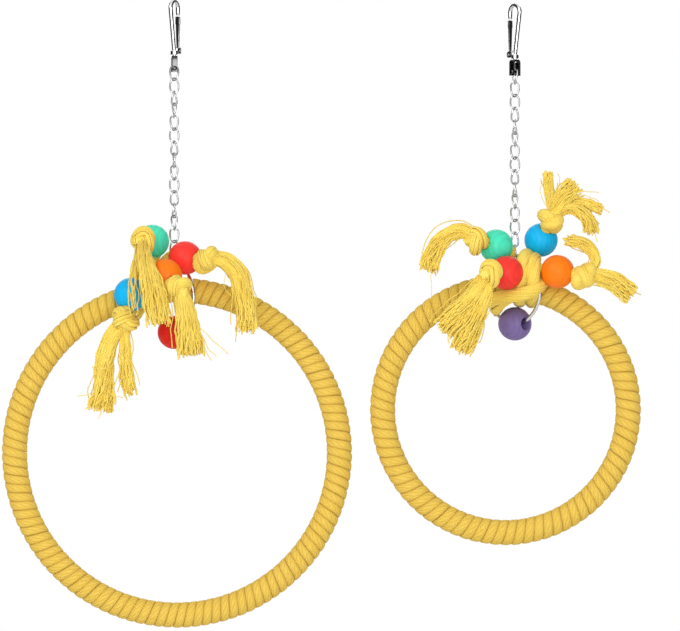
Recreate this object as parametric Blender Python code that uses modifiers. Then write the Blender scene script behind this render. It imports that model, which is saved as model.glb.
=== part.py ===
"""Pair of hanging bird swings: a large and a small rope-wound ring, each on a twisted-link chain with a
swivel snap hook, two knotted cords with coloured beads, and a hinged book ring that carries one more bead.

World frame: +Z up, +X to the viewer's right, -Y towards the viewer. The origin is the inside of the
large hook's crown, the point that rests on the perch rod. Sizes are in metres, written through MM.
"""
import math

import bmesh
import bpy
from mathutils import Matrix, Vector
from mathutils.geometry import interpolate_bezier
from mathutils.kdtree import KDTree

MM = 0.001

# Set layout
SWING_SPACING = 223.8 * MM
SMALL_HOOK_DROP = 2.6 * MM
CLEARANCE = 0.3 * MM
LAP = 0.2 * MM

# Rope rings
LARGE_RING_DIAMETER = 230.0 * MM
SMALL_RING_DIAMETER = 178.0 * MM
ROPE_DIAMETER = 16.6 * MM
CORE_DIAMETER = 8.0 * MM
CORE_SEGMENTS = 40
CORE_SIDES = 6
LARGE_WRAP_TURNS = 57
SMALL_WRAP_TURNS = 40
WRAP_TURN_GAP = 0.7 * MM
WRAP_JOINT_ANGLE = math.radians(14.0)
WRAP_FACETS = 8
WRAP_VALLEY_SHARE = 0.55
WRAP_CREST_SHARE = 0.52
LARGE_RING_SIDESTEP = 1.8 * MM
SMALL_RING_SIDESTEP = -6.2 * MM

# Snap hook
HOOK_INNER_WIDTH = 6.6 * MM
HOOK_WIRE = 3.0 * MM
HOOK_TIP_LENGTH = 8.0 * MM
HOOK_TIP_TAPER = 0.8
HOOK_FOOT_TAPER = 0.9
HOOK_BEND_STEPS = 6
HOOK_BASE_DROP = 34.0 * MM
HOOK_COLLAR_DIAMETER = 5.2 * MM
HOOK_COLLAR_HEIGHT = 3.0 * MM
GATE_THICKNESS = 0.9 * MM
GATE_HEAD_WIDTH = 3.6 * MM
GATE_STRIP_WIDTH = 2.6 * MM
GATE_HEAD_LENGTH = 4.5 * MM
GATE_FOOT_DROP = 31.0 * MM
GATE_FOOT_WIDTH = 2.1 * MM
GATE_FOOT_LENGTH = 2.8 * MM
GATE_SHOULDER = 0.9 * MM
GATE_CORNER = 0.5 * MM
CLEVIS_WALL = 0.9 * MM
CLEVIS_ABOVE_PIVOT = 2.4 * MM
CLEVIS_LIP = 0.6 * MM
CLEVIS_SLOT_INSET = 1.4 * MM
LARGE_HOOK_TURN = math.radians(62.0)
SMALL_HOOK_TURN = math.radians(128.0)

# Swivel stirrup
POST_DIAMETER = 2.2 * MM
POST_HEAD_DIAMETER = 3.6 * MM
POST_HEAD_HEIGHT = 0.9 * MM
STRAP_THICKNESS = 1.0 * MM
STRAP_WIDTH = 4.0 * MM
STRAP_INNER_SPAN = 5.0 * MM
STIRRUP_HEIGHT = 8.5 * MM
STIRRUP_LEG_END = 2.2 * MM
STIRRUP_SHOULDER_DROP = 3.0 * MM
STIRRUP_SHOULDER_INSET = 0.8 * MM
RIVET_DIAMETER = 2.0 * MM
RIVET_HEAD_DIAMETER = 3.4 * MM
RIVET_HEAD_HEIGHT = 0.8 * MM

# Chain
LARGE_LINKS = 16
SMALL_LINKS = 15
LINK_PITCH = 8.2 * MM
LINK_WIDTH = 7.0 * MM
LINK_WIRE = 1.2 * MM
LINK_TWIST = math.radians(50.0)
LARGE_FIRST_LINK_TURN = math.radians(-20.0)
LARGE_LINK_ADVANCE = math.radians(42.0)
SMALL_FIRST_LINK_TURN = math.radians(-66.0)
SMALL_LINK_ADVANCE = math.radians(36.0)

# Book ring
BOOK_RING_RADIUS = 22.5 * MM
BOOK_RING_WIRE = 2.6 * MM
BOOK_RING_HALF_STEPS = 10
LARGE_BOOK_RING_TURN = math.radians(-54.0)
SMALL_BOOK_RING_TURN = math.radians(-45.0)
CLASP_ANGLE = math.radians(43.0)
HINGE_EYE_DIAMETER = 5.0 * MM
HINGE_EYE_THICKNESS = 1.1 * MM
HINGE_PIN_DIAMETER = 1.6 * MM
HINGE_HEAD_DIAMETER = 3.0 * MM
HINGE_HEAD_HEIGHT = 0.5 * MM
LARGE_ROPE_BELOW_BOOK_RING_TOP = 17.4 * MM
SMALL_ROPE_BELOW_BOOK_RING_TOP = 21.0 * MM

# Beads and tie cords
BEAD_DIAMETER = 22.0 * MM
BEAD_HOLE_DIAMETER = 8.4 * MM
BEAD_SEGMENTS = 12
BEAD_PROFILE_STEPS = 5
BEAD_EDGE_WIDTH = 0.7 * MM
BEAD_EDGE_DEPTH = 0.4 * MM
CORD_DIAMETER = 7.2 * MM
CORD_STRAIGHT_PAST_BEAD = 1.5 * MM
KNOT_LENGTH = 13.0 * MM
KNOT_DIAMETER = 17.0 * MM

# Colours as linear RGB
YELLOW_COTTON = (0.86, 0.56, 0.07)
PLATED_STEEL = (0.72, 0.73, 0.74)
GALVANISED_WIRE = (0.55, 0.56, 0.57)
GREEN_DYE = (0.03, 0.55, 0.28)
RED_DYE = (0.86, 0.04, 0.03)
DEEP_RED_DYE = (0.66, 0.02, 0.02)
ORANGE_DYE = (1.0, 0.19, 0.005)
BLUE_DYE = (0.003, 0.26, 0.64)
PURPLE_DYE = (0.16, 0.11, 0.33)


def mm(x, y, z):
    """A point given in millimetres."""
    return Vector((x, y, z)) * MM


# Tie cord ends: bead centre and the way the cord leaves it, then the frayed bunches that follow the knot.
# Places are millimetres from the middle of the rope under the chain. A bunch lists points and half widths.
LARGE_ENDS = {
    "green": {
        "bead": (-14.0, -7.0, 32.0),
        "way": (-0.31, -0.95, 0.03),
        "bunches": [
            [(-20, -25, 31, 6), (-19, -40, 22, 6), (-17, -51, 9, 6), (-13.5, -53, -6, 6),
             (-9, -51, -23, 7)],
            [(-19.5, -30, 26, 3.5), (-20.5, -39, 12, 3.5), (-20.5, -41, -6, 3.5), (-19, -41, -25, 4)],
        ],
    },
    "red": {
        "bead": (7.8, -20.1, 21.0),
        "way": (0.8, -0.59, -0.08),
        "bunches": [
            [(25, -30, 20.5, 6.5), (34, -30, 18.5, 6.5), (42.5, -29, 9.5, 7.5), (46, -28, -4, 7.3),
             (48.5, -28, -16, 6.5), (49.7, -28, -28, 6.8)],
        ],
    },
    "orange": {
        "bead": (-4.5, -34.7, 9.3),
        "way": (0.45, -0.78, -0.43),
        "bunches": [
            [(4.5, -50, 0.5, 6), (7, -50, -9, 7), (10, -48, -24, 8.5), (13, -46, -43, 10)],
        ],
    },
    "blue": {
        "bead": (-27.5, -22.4, -3.0),
        "way": (-0.2, -0.35, -0.91),
        "bunches": [
            [(-32, -27, -21, 6), (-38.5, -28, -29, 6), (-43, -28, -42, 6.8), (-45, -28, -54, 6.8),
             (-45.5, -28, -66, 8), (-48, -28, -79, 10.5)],
            [(-31.5, -27, -21, 4), (-31, -27, -34, 4), (-30, -27, -52, 4.5), (-28.4, -27, -68.7, 5.4)],
        ],
    },
}
SMALL_ENDS = {
    "green": {
        "bead": (-12.8, -15.0, 26.8),
        "way": (-0.75, -0.62, 0.2),
        "bunches": [
            [(-25.5, -25.5, 31, 6), (-35, -27, 37, 5.8), (-44.5, -27, 34.5, 6), (-52, -27, 26.5, 6.3),
             (-56, -27, 16, 6.8), (-57, -27, 9, 7)],
        ],
    },
    "red": {
        "bead": (-6.6, -27.5, 9.2),
        "way": (-0.6, -0.8, 0.0),
        "bunches": [
            [(-20, -41, 6, 7), (-24, -43, -4, 9), (-30, -42, -16, 11.5), (-36, -41, -28, 12.5),
             (-40.5, -40, -38, 12)],
        ],
    },
    "blue": {
        "bead": (17.1, -2.0, 31.0),
        "way": (0.34, -0.6, 0.72),
        "bunches": [
            [(24, -13, 47, 5), (28, -13, 55, 5.5), (33.5, -12, 62, 7), (40.5, -11, 67.5, 8.5)],
            [(23.5, -13, 48, 3), (22.5, -13, 60, 3), (21, -13, 76, 3.5)],
            [(25.5, -13, 47, 4), (34, -13, 52, 4), (42.5, -13, 49, 4.3), (48, -13, 42.5, 5),
             (50.5, -13, 34, 5.5)],
            [(27, -9.5, 47.2, 3.3), (36.5, -9, 54.2, 3.4), (46, -9, 55, 3.2), (57, -9, 49.5, 2.5)],
        ],
    },
    "orange": {
        "bead": (26.9, -22.0, 10.0),
        "way": (0.96, -0.2, -0.17),
        "bunches": [
            [(45, -25.5, 6.8, 5.5), (54, -26, 6.5, 5.8), (65, -26, 2.5, 6.8), (77, -26, -5.5, 7.5)],
            [(46, -25, 7.5, 4), (52, -24, 17, 4), (48, -23, 25, 4), (40, -23, 29, 4), (31, -23, 30.5, 3.5)],
        ],
    },
}
# Each tie cord runs from one bead, round the rope, to another.
LARGE_TIES = {
    "cord_a": ("green", "red", [
        (-11, 10, 27), (-15, 11.8, 19), (-20, 13.5, 13.5), (-25, 14, 6), (-24.2, 12.5, -5),
        (-26, 8.8, -13.5), (-25, -0.5, -16.5), (-22, -10, -12.2), (-15.5, -12.8, -3), (-12.5, -10.8, 6.5),
        (-8.5, -6.5, 15.5)]),
    "cord_b": ("orange", "blue", [(-14.5, -14.5, 18), (-20.5, -10.5, 18), (-24.5, -11.5, 15.5)]),
}
SMALL_TIES = {
    "cord_a": ("green", "blue", [
        (-3.8, -5.2, 17.2), (-5, 2.5, 13.6), (-6, 9.5, 9.3), (-7.5, 13.2, -1), (-12, 9.8, -9.5),
        (-12.5, 0, -14.8), (-9, -10, -10.5), (-2, -13.2, -6), (4.5, -12.8, -0.5), (8.3, -9.6, 7.6),
        (8.5, -4.6, 12.8), (10, 0.5, 15.5)]),
    "cord_b": ("red", "orange", [(7.5, -16.9, 8.9), (11, -18, 10)]),
}
LOWER_BEAD_DYES = {"large": DEEP_RED_DYE, "small": PURPLE_DYE}
BEAD_DYES = {"green": GREEN_DYE, "red": RED_DYE, "orange": ORANGE_DYE, "blue": BLUE_DYE}


def clear_scene():
    for obj in list(bpy.data.objects):
        bpy.data.objects.remove(obj)
    for collection in list(bpy.data.collections):
        bpy.data.collections.remove(collection)


def new_collection(name):
    collection = bpy.data.collections.new(name)
    bpy.context.scene.collection.children.link(collection)
    return collection


def material(name, colour, roughness, metallic=0.0):
    found = bpy.data.materials.get(name)
    if found:
        return found
    made = bpy.data.materials.new(name)
    made.use_nodes = True
    shader = made.node_tree.nodes["Principled BSDF"]
    shader.inputs["Base Color"].default_value = (*colour, 1.0)
    shader.inputs["Roughness"].default_value = roughness
    shader.inputs["Metallic"].default_value = metallic
    return made


clear_scene()
PARTS = new_collection("double_ring_bird_swing")
CUTTERS = new_collection("cutters_and_guides")
COTTON = material("yellow_cotton", YELLOW_COTTON, 0.9)
CHROME = material("plated_steel", PLATED_STEEL, 0.18, 1.0)
WIRE_METAL = material("galvanised_wire", GALVANISED_WIRE, 0.32, 1.0)
CORE_METAL = material("core_steel", GALVANISED_WIRE, 0.5, 1.0)


def add_object(name, data, finish, parent=None, place=Matrix.Identity(4), collection=PARTS):
    obj = bpy.data.objects.new(name, data)
    collection.objects.link(obj)
    if finish:
        data.materials.append(finish)
    obj.parent = parent
    obj.matrix_local = place
    return obj


def guide(obj):
    """Keep a cutter or joined shape out of the model's own pieces."""
    for owner in list(obj.users_collection):
        owner.objects.unlink(obj)
    CUTTERS.objects.link(obj)
    obj.hide_render = True
    obj.display_type = "WIRE"
    return obj


def empty(name, parent, location):
    obj = bpy.data.objects.new(name, None)
    PARTS.objects.link(obj)
    obj.parent = parent
    obj.location = location
    return obj


def mesh_from(bm, name, smooth_angle=math.radians(40)):
    bmesh.ops.recalc_face_normals(bm, faces=bm.faces)
    data = bpy.data.meshes.new(name)
    bm.to_mesh(data)
    bm.free()
    data.shade_smooth()
    data.set_sharp_from_angle(angle=smooth_angle)
    return data


def tube_curve(name, points, radius, radii=None, cyclic=False, resolution=1):
    """A poly tube through the points; radii, where given, scale each point's share of the radius."""
    curve = bpy.data.curves.new(name, "CURVE")
    curve.dimensions = "3D"
    curve.bevel_depth = radius
    curve.bevel_resolution = resolution
    curve.use_fill_caps = True
    curve.render_resolution_u = 0
    spline = curve.splines.new("POLY")
    spline.points.add(len(points) - 1)
    for index, point in enumerate(points):
        spline.points[index].co = (*point, 1.0)
        spline.points[index].radius = radii[index] if radii else 1.0
    spline.use_cyclic_u = cyclic
    spline.use_smooth = True
    return curve


def as_mesh(name, curve):
    """The curve's tube as a plain mesh with its caps welded on."""
    holder = bpy.data.objects.new(name, curve)
    CUTTERS.objects.link(holder)
    bpy.context.view_layer.update()
    shape = holder.evaluated_get(bpy.context.evaluated_depsgraph_get())
    data = bpy.data.meshes.new_from_object(shape)
    bpy.data.objects.remove(holder)
    bm = bmesh.new()
    bm.from_mesh(data)
    bmesh.ops.remove_doubles(bm, verts=bm.verts, dist=0.00001)
    return mesh_from(bm, name)


def cylinder(name, diameter, height, sides, place):
    bm = bmesh.new()
    radius = diameter / 2
    bmesh.ops.create_cone(bm, cap_ends=True, segments=sides, radius1=radius, radius2=radius, depth=height)
    bm.transform(place)
    return mesh_from(bm, name)


def join(target, data, operation="UNION"):
    """Cut or add a shape that is given in the target's own frame."""
    tool = guide(add_object(f"{target.name}_{operation.lower()}_{len(target.modifiers)}", data, None))
    tool.parent = target
    modifier = target.modifiers.new(operation.title(), "BOOLEAN")
    modifier.operation = operation
    modifier.solver = "EXACT"
    modifier.use_self = True
    modifier.object = tool


def smooth_route(points, steps):
    """Points on a smooth curve through the given ones."""
    route = []
    last = len(points) - 1
    for index in range(last):
        start, end = points[index], points[index + 1]
        before = points[max(index - 1, 0)]
        after = points[min(index + 2, last)]
        lead = start + (end - before) / 6
        tail = end - (after - start) / 6
        route += interpolate_bezier(start, lead, tail, end, steps + 1)[:-1]
    return route + [points[-1]]


def ring_turn(angle):
    """Turn about the vertical."""
    return Matrix.Rotation(angle, 4, "Z")


def make_hook(prefix, swing, turn):
    """Hook body with swivel post, and the sprung gate on its own pivot."""
    wire = HOOK_WIRE / 2
    bend = HOOK_INNER_WIDTH / 2 + wire
    crown = Vector((0, 0, -HOOK_INNER_WIDTH / 2))
    steps = HOOK_BEND_STEPS
    path = [Vector((bend, 0, -HOOK_TIP_LENGTH))]
    path += [
        crown + bend * Vector((math.cos(math.pi * i / steps), 0, math.sin(math.pi * i / steps)))
        for i in range(steps + 1)
    ]
    base = Vector((0, 0, -HOOK_BASE_DROP + HOOK_COLLAR_HEIGHT / 2))
    path += [(path[-1] + base) / 2, base]
    taper = [HOOK_TIP_TAPER] + [1.0] * (steps + 1) + [HOOK_FOOT_TAPER] * 2
    name = f"{prefix}_hook_body"
    shape = as_mesh(name, tube_curve("hook_wire", path, wire, taper, resolution=2))
    body = add_object(name, shape, CHROME, swing, ring_turn(turn))
    collar = Matrix.Translation(base)
    join(body, cylinder("collar", HOOK_COLLAR_DIAMETER, HOOK_COLLAR_HEIGHT, 12, collar))
    post_length = STRAP_THICKNESS + 2 * CLEARANCE + POST_HEAD_HEIGHT
    post = Matrix.Translation((0, 0, -HOOK_BASE_DROP + LAP - post_length / 2))
    join(body, cylinder("post", POST_DIAMETER, post_length, 8, post))
    head = Matrix.Translation((0, 0, -HOOK_BASE_DROP - post_length + POST_HEAD_HEIGHT / 2))
    join(body, cylinder("post_head", POST_HEAD_DIAMETER, POST_HEAD_HEIGHT, 10, head))
    clevis_width = GATE_FOOT_WIDTH + 2 * (CLEVIS_WALL + CLEARANCE)
    clevis_low = base.z - HOOK_COLLAR_HEIGHT / 4
    clevis_high = -GATE_FOOT_DROP + CLEVIS_ABOVE_PIVOT
    bm = bmesh.new()
    bmesh.ops.create_cube(bm, size=1.0)
    reach = bend + GATE_THICKNESS / 2 + CLEVIS_LIP
    bm.transform(
        Matrix.Translation((reach / 2, 0, (clevis_low + clevis_high) / 2))
        @ Matrix.Diagonal((reach, clevis_width, clevis_high - clevis_low, 1)))
    join(body, mesh_from(bm, "clevis"))
    bm = bmesh.new()
    bmesh.ops.create_cube(bm, size=1.0)
    slot_depth = clevis_high - clevis_low
    bm.transform(
        Matrix.Translation((bend, 0, -GATE_FOOT_DROP - CLEARANCE + slot_depth / 2))
        @ Matrix.Diagonal((2 * (bend - CLEVIS_SLOT_INSET), GATE_FOOT_WIDTH + 2 * CLEARANCE, slot_depth, 1)))
    join(body, mesh_from(bm, "clevis_slot"), "DIFFERENCE")

    gate_top = GATE_FOOT_DROP - HOOK_TIP_LENGTH - CLEARANCE
    head_foot = gate_top - GATE_HEAD_LENGTH
    half_head, half_strip, half_foot = GATE_HEAD_WIDTH / 2, GATE_STRIP_WIDTH / 2, GATE_FOOT_WIDTH / 2
    outline = [
        (half_head - GATE_CORNER, gate_top), (half_head, gate_top - GATE_CORNER), (half_head, head_foot),
        (half_strip, head_foot - GATE_SHOULDER), (half_foot, GATE_FOOT_LENGTH), (half_foot, 0)]
    curve = bpy.data.curves.new(f"{prefix}_hook_gate", "CURVE")
    curve.dimensions = "2D"
    curve.fill_mode = "BOTH"
    curve.extrude = GATE_THICKNESS / 2
    curve.render_resolution_u = 0
    spline = curve.splines.new("POLY")
    corners = outline + [(-x, z) for x, z in reversed(outline)]
    spline.points.add(len(corners) - 1)
    for index, (x, z) in enumerate(corners):
        spline.points[index].co = (x, z, 0, 1)
    spline.use_cyclic_u = True
    stand = Matrix(((0, 0, 1, 0), (1, 0, 0, 0), (0, 1, 0, 0), (0, 0, 0, 1)))
    pivot = ring_turn(turn) @ Matrix.Translation((bend, 0, -GATE_FOOT_DROP)) @ stand
    add_object(f"{prefix}_hook_gate", curve, CHROME, swing, pivot)


def rivet_drop():
    """Depth of the stirrup rivet's middle below the hook's crown."""
    return HOOK_BASE_DROP + CLEARANCE + STIRRUP_HEIGHT


def make_stirrup(prefix, swing, turn):
    """Bent strap that swivels on the hook's post, with the cross rivet that carries the chain."""
    top = -CLEARANCE - STRAP_THICKNESS / 2
    half = STRAP_INNER_SPAN / 2 + STRAP_THICKNESS / 2
    low = -CLEARANCE - STIRRUP_HEIGHT - STIRRUP_LEG_END
    shoulder = top - STIRRUP_SHOULDER_DROP
    flat = half - STIRRUP_SHOULDER_INSET
    line = [(-half, low), (-half, shoulder), (-flat, top), (flat, top), (half, shoulder), (half, low)]
    bm = bmesh.new()
    rails = [[bm.verts.new((x, side * STRAP_WIDTH / 2, z)) for x, z in line] for side in (-1, 1)]
    for i in range(len(line) - 1):
        bm.faces.new((rails[0][i], rails[0][i + 1], rails[1][i + 1], rails[1][i]))
    place = Matrix.Translation((0, 0, -HOOK_BASE_DROP)) @ ring_turn(turn)
    strap = add_object(f"{prefix}_swivel_stirrup", mesh_from(bm, "strap"), CHROME, swing, place)
    wall = strap.modifiers.new("Wall", "SOLIDIFY")
    wall.thickness = STRAP_THICKNESS
    wall.offset = 0
    wall.use_even_offset = True
    hole = POST_DIAMETER + 2 * CLEARANCE
    bore = cylinder("swivel_hole", hole, 4 * STRAP_THICKNESS, 10, Matrix.Translation((0, 0, top)))
    join(strap, bore, "DIFFERENCE")
    lie = Matrix.Translation((0, 0, -CLEARANCE - STIRRUP_HEIGHT)) @ Matrix.Rotation(math.pi / 2, 4, "Y")
    span = STRAP_INNER_SPAN + 2 * STRAP_THICKNESS
    join(strap, cylinder("rivet", RIVET_DIAMETER, span + RIVET_HEAD_HEIGHT, 8, lie))
    for side in (-1, 1):
        seat = lie @ Matrix.Translation((0, 0, side * (span + RIVET_HEAD_HEIGHT - LAP) / 2))
        join(strap, cylinder("rivet_head", RIVET_HEAD_DIAMETER, RIVET_HEAD_HEIGHT, 8, seat))


def link_half_length():
    return (LINK_PITCH + LINK_WIRE + CLEARANCE) / 2


def chain_top():
    """Depth of the first link's top wire below the hook's crown."""
    return rivet_drop() - RIVET_DIAMETER / 2 - CLEARANCE - LINK_WIRE / 2


def make_chain(prefix, swing, links, first_turn, advance):
    """Oval links, each twisted along its length, with every origin on the wire that it hangs from."""
    half = link_half_length()
    bow = (LINK_WIDTH - LINK_WIRE) / 2
    straight = half - bow
    arc = [math.pi * i / 4 for i in range(5)]
    points = [(bow * math.cos(a), straight + bow * math.sin(a)) for a in arc]
    points += [(-x, -z) for x, z in points]
    for index in range(links):
        turn = first_turn + index * advance
        centre = -chain_top() - half - index * LINK_PITCH
        seat = centre + half - LINK_WIRE - CLEARANCE if index else -rivet_drop()
        loop = []
        for x, z in points:
            swirl = turn + LINK_TWIST * z / (2 * half)
            loop.append(Vector((x * math.cos(swirl), x * math.sin(swirl), centre + z - seat)))
        curve = tube_curve(f"{prefix}_chain_link_{index + 1:02d}", loop, LINK_WIRE / 2, cyclic=True)
        add_object(curve.name, curve, WIRE_METAL, swing, Matrix.Translation((0, 0, seat)))


def chain_bottom(links):
    """Depth of the book ring's top wire, hung in the last link."""
    last_wire = chain_top() + 2 * link_half_length() + (links - 1) * LINK_PITCH
    flat_of_ring = BOOK_RING_RADIUS * (1 - math.cos(math.pi / (2 * BOOK_RING_HALF_STEPS)))
    return last_wire - LINK_WIRE / 2 - CLEARANCE - BOOK_RING_WIRE / 2 - flat_of_ring


def make_book_ring(prefix, swing, middle, turn):
    """Two half rings of wire: the lower one opens on the hinge and takes the loose bead.

    Local X runs along the ring's level diameter, local Y along its hinge pin and local Z up.
    """
    wire = BOOK_RING_WIRE / 2
    clasp_gap = CLEARANCE / BOOK_RING_RADIUS
    eye_gap = (HINGE_EYE_DIAMETER / 2 - 2 * LAP) / BOOK_RING_RADIUS
    hinge_angle = CLASP_ANGLE + math.pi
    hinge = BOOK_RING_RADIUS * Vector((math.cos(hinge_angle), 0, math.sin(hinge_angle)))
    place = Matrix.Translation(middle + ring_turn(turn) @ hinge) @ ring_turn(turn)
    flat = Matrix.Rotation(math.pi / 2, 4, "X")

    def half_ring(name, start, end):
        steps = BOOK_RING_HALF_STEPS
        angles = [start + (end - start) * i / steps for i in range(steps + 1)]
        points = [BOOK_RING_RADIUS * Vector((math.cos(a), 0, math.sin(a))) - hinge for a in angles]
        data = as_mesh(name, tube_curve("half_ring", points, wire, resolution=1))
        return add_object(name, data, CHROME, swing, place)

    def eye(side, diameter, thickness, offset):
        return cylinder("eye", diameter, thickness, 12, Matrix.Translation((0, side * offset, 0)) @ flat)

    def room(side):
        """Space that the other half's eye turns in."""
        depth = HINGE_EYE_THICKNESS + 3 * CLEARANCE
        return eye(side, HINGE_EYE_DIAMETER + 2 * CLEARANCE, depth, depth / 2 - CLEARANCE / 2)

    offset = CLEARANCE / 2 + HINGE_EYE_THICKNESS / 2
    upper = half_ring(f"{prefix}_book_ring_upper", CLASP_ANGLE + clasp_gap, hinge_angle - eye_gap)
    join(upper, room(-1), "DIFFERENCE")
    join(upper, eye(1, HINGE_EYE_DIAMETER, HINGE_EYE_THICKNESS, offset))
    pin_reach = 2 * HINGE_EYE_THICKNESS + 2 * CLEARANCE
    pin = Matrix.Translation((0, offset - pin_reach / 2, 0)) @ flat
    join(upper, cylinder("pin", HINGE_PIN_DIAMETER, pin_reach, 8, pin))
    head_offset = 1.5 * CLEARANCE + HINGE_EYE_THICKNESS + HINGE_HEAD_HEIGHT / 2
    join(upper, eye(-1, HINGE_HEAD_DIAMETER, HINGE_HEAD_HEIGHT, head_offset))
    lower_end = CLASP_ANGLE + 2 * math.pi - clasp_gap
    lower = half_ring(f"{prefix}_book_ring_lower", hinge_angle + eye_gap, lower_end)
    join(lower, room(1), "DIFFERENCE")
    join(lower, eye(-1, HINGE_EYE_DIAMETER, HINGE_EYE_THICKNESS, offset))
    bore = HINGE_PIN_DIAMETER + 2 * CLEARANCE
    join(lower, cylinder("pin_bore", bore, 4 * HINGE_EYE_THICKNESS, 10, flat), "DIFFERENCE")


def bead_mesh(name):
    """A turned ball with a wide straight hole and softly broken hole edges."""
    radius, hole = BEAD_DIAMETER / 2, BEAD_HOLE_DIAMETER / 2
    rim = math.asin((hole + BEAD_EDGE_WIDTH) / radius)
    mouth = radius * math.cos(rim) - BEAD_EDGE_DEPTH
    profile = [(hole, mouth)]
    for i in range(BEAD_PROFILE_STEPS + 1):
        polar = rim + (math.pi - 2 * rim) * i / BEAD_PROFILE_STEPS
        profile.append((radius * math.sin(polar), radius * math.cos(polar)))
    profile.append((hole, -mouth))
    data = bpy.data.meshes.new(name)
    edges = [(i, (i + 1) % len(profile)) for i in range(len(profile))]
    data.from_pydata([(x, 0, z) for x, z in profile], edges, [])
    return data


def add_bead(name, dye, swing, centre, way):
    finish = material(f"dyed_wood_{name.split('_', 1)[0]}_{name.rsplit('_', 1)[1]}", dye, 0.6)
    place = Matrix.Translation(centre) @ way.to_track_quat("Z", "Y").to_matrix().to_4x4()
    bead = add_object(name, bead_mesh(name), finish, swing, place)
    turn = bead.modifiers.new("Turned", "SCREW")
    turn.steps = turn.render_steps = BEAD_SEGMENTS
    turn.use_merge_vertices = True
    turn.merge_threshold = 0.00001
    turn.use_normal_calculate = True
    return bead


def lower_bead_centre(middle):
    """The loose bead hangs where the curved wire meets the top of its hole near both mouths."""
    half_hole = math.sqrt((BEAD_DIAMETER / 2) ** 2 - (BEAD_HOLE_DIAMETER / 2) ** 2)
    sag = BOOK_RING_RADIUS - math.sqrt(BOOK_RING_RADIUS ** 2 - half_hole ** 2)
    facet = BEAD_HOLE_DIAMETER / 2 * math.cos(math.pi / BEAD_SEGMENTS)
    lift = sag + BOOK_RING_WIRE / 2 + CLEARANCE - facet
    return middle + Vector((0, 0, -BOOK_RING_RADIUS + lift))


def make_ring(prefix, swing, top, diameter, sidestep, turns):
    """Steel core hoop and the cord wound round it as one helix, a pair of strands to each turn."""
    radius = diameter / 2 - ROPE_DIAMETER / 2
    centre = top + Vector((sidestep, 0, -math.sqrt(radius ** 2 - sidestep ** 2)))
    bpy.ops.mesh.primitive_torus_add(
        major_radius=radius, minor_radius=CORE_DIAMETER / 2,
        major_segments=CORE_SEGMENTS, minor_segments=CORE_SIDES)
    core = bpy.context.object
    core.name = core.data.name = f"{prefix}_ring_core"
    for owner in list(core.users_collection):
        owner.objects.unlink(core)
    PARTS.objects.link(core)
    core.data.materials.append(CORE_METAL)
    core.data.shade_smooth()
    core.parent = swing
    core.matrix_local = Matrix.Translation(centre) @ Matrix.Rotation(math.pi / 2, 4, "X")

    outer = ROPE_DIAMETER / 2
    flat_of_core = radius * (1 - math.cos(math.pi / CORE_SEGMENTS))
    inner = (CORE_DIAMETER / 2 + CLEARANCE) / math.cos(math.pi / WRAP_FACETS) + flat_of_core
    pitch = 2 * math.pi * radius / turns
    half = (pitch - WRAP_TURN_GAP) / 2
    crest = half * WRAP_CREST_SHARE
    valley = inner + (outer - inner) * WRAP_VALLEY_SHARE
    profile = [(inner, -half), (outer, -crest), (valley, 0), (outer, crest), (inner, half)]
    corners = len(profile)
    data = bpy.data.meshes.new("strand_pair")
    data.from_pydata([(x, 0, z) for x, z in profile], [(i, (i + 1) % corners) for i in range(corners)], [])
    holder = add_object(f"{prefix}_winding", data, None, collection=CUTTERS)
    screw = holder.modifiers.new("Helix", "SCREW")
    share = 1 - WRAP_JOINT_ANGLE / (2 * math.pi * turns)
    screw.angle = 2 * math.pi * share
    screw.screw_offset = pitch * share
    screw.iterations = turns
    screw.steps = screw.render_steps = WRAP_FACETS
    screw.use_smooth_shade = True
    bpy.context.view_layer.update()
    shape = holder.evaluated_get(bpy.context.evaluated_depsgraph_get())
    wound = bpy.data.meshes.new_from_object(shape)
    bpy.data.objects.remove(holder)
    bm = bmesh.new()
    bm.from_mesh(wound)
    bmesh.ops.holes_fill(bm, edges=[e for e in bm.edges if e.is_boundary], sides=0)
    for vert in bm.verts:
        reach = math.hypot(vert.co.x, vert.co.y)
        swirl = math.atan2(vert.co.y, vert.co.x)
        along = math.pi / 2 + vert.co.z / radius
        out = radius + reach * math.cos(swirl)
        vert.co = (out * math.cos(along), -reach * math.sin(swirl), out * math.sin(along))
    gap = least_turn_gap([vert.co.copy() for vert in bm.verts], corners)
    print(f"{prefix} winding: {turns} turns, least gap between turns {gap / MM:.2f} mm")
    name = f"{prefix}_ring_wrap"
    add_object(name, mesh_from(bm, name), COTTON, swing, Matrix.Translation(centre))


def edge_points(places, corner, corners):
    """Closely spaced points along one edge of the winding."""
    fine_steps = 16
    line = places[corner::corners]
    return [a.lerp(b, i / fine_steps) for a, b in zip(line, line[1:]) for i in range(fine_steps)]


def least_turn_gap(places, corners):
    """Least distance from the winding's trailing edges to the leading edges of the turns beside them."""
    leading = edge_points(places, 0, corners) + edge_points(places, 1, corners)
    tree = KDTree(len(leading))
    for index, point in enumerate(leading):
        tree.insert(point, index)
    tree.balance()
    trailing = edge_points(places, corners - 1, corners) + edge_points(places, corners - 2, corners)
    return min(tree.find(point)[2] for point in trailing)


def bunch_mesh(name, stations):
    """A frayed bunch as one tapered tube through its stations."""
    points = [mm(*station[:3]) for station in stations]
    widest = max(station[3] for station in stations)
    radii = [station[3] / widest for station in stations]
    return as_mesh(name, tube_curve(name, points, widest * MM, radii, resolution=1))


def knot_mesh(name, centre, way):
    bm = bmesh.new()
    bmesh.ops.create_uvsphere(bm, u_segments=8, v_segments=6, radius=0.5)
    squash = Matrix.Diagonal((KNOT_DIAMETER, KNOT_DIAMETER, KNOT_LENGTH, 1))
    bm.transform(Matrix.Translation(centre) @ way.to_track_quat("Z", "Y").to_matrix().to_4x4() @ squash)
    return mesh_from(bm, name)


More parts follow.
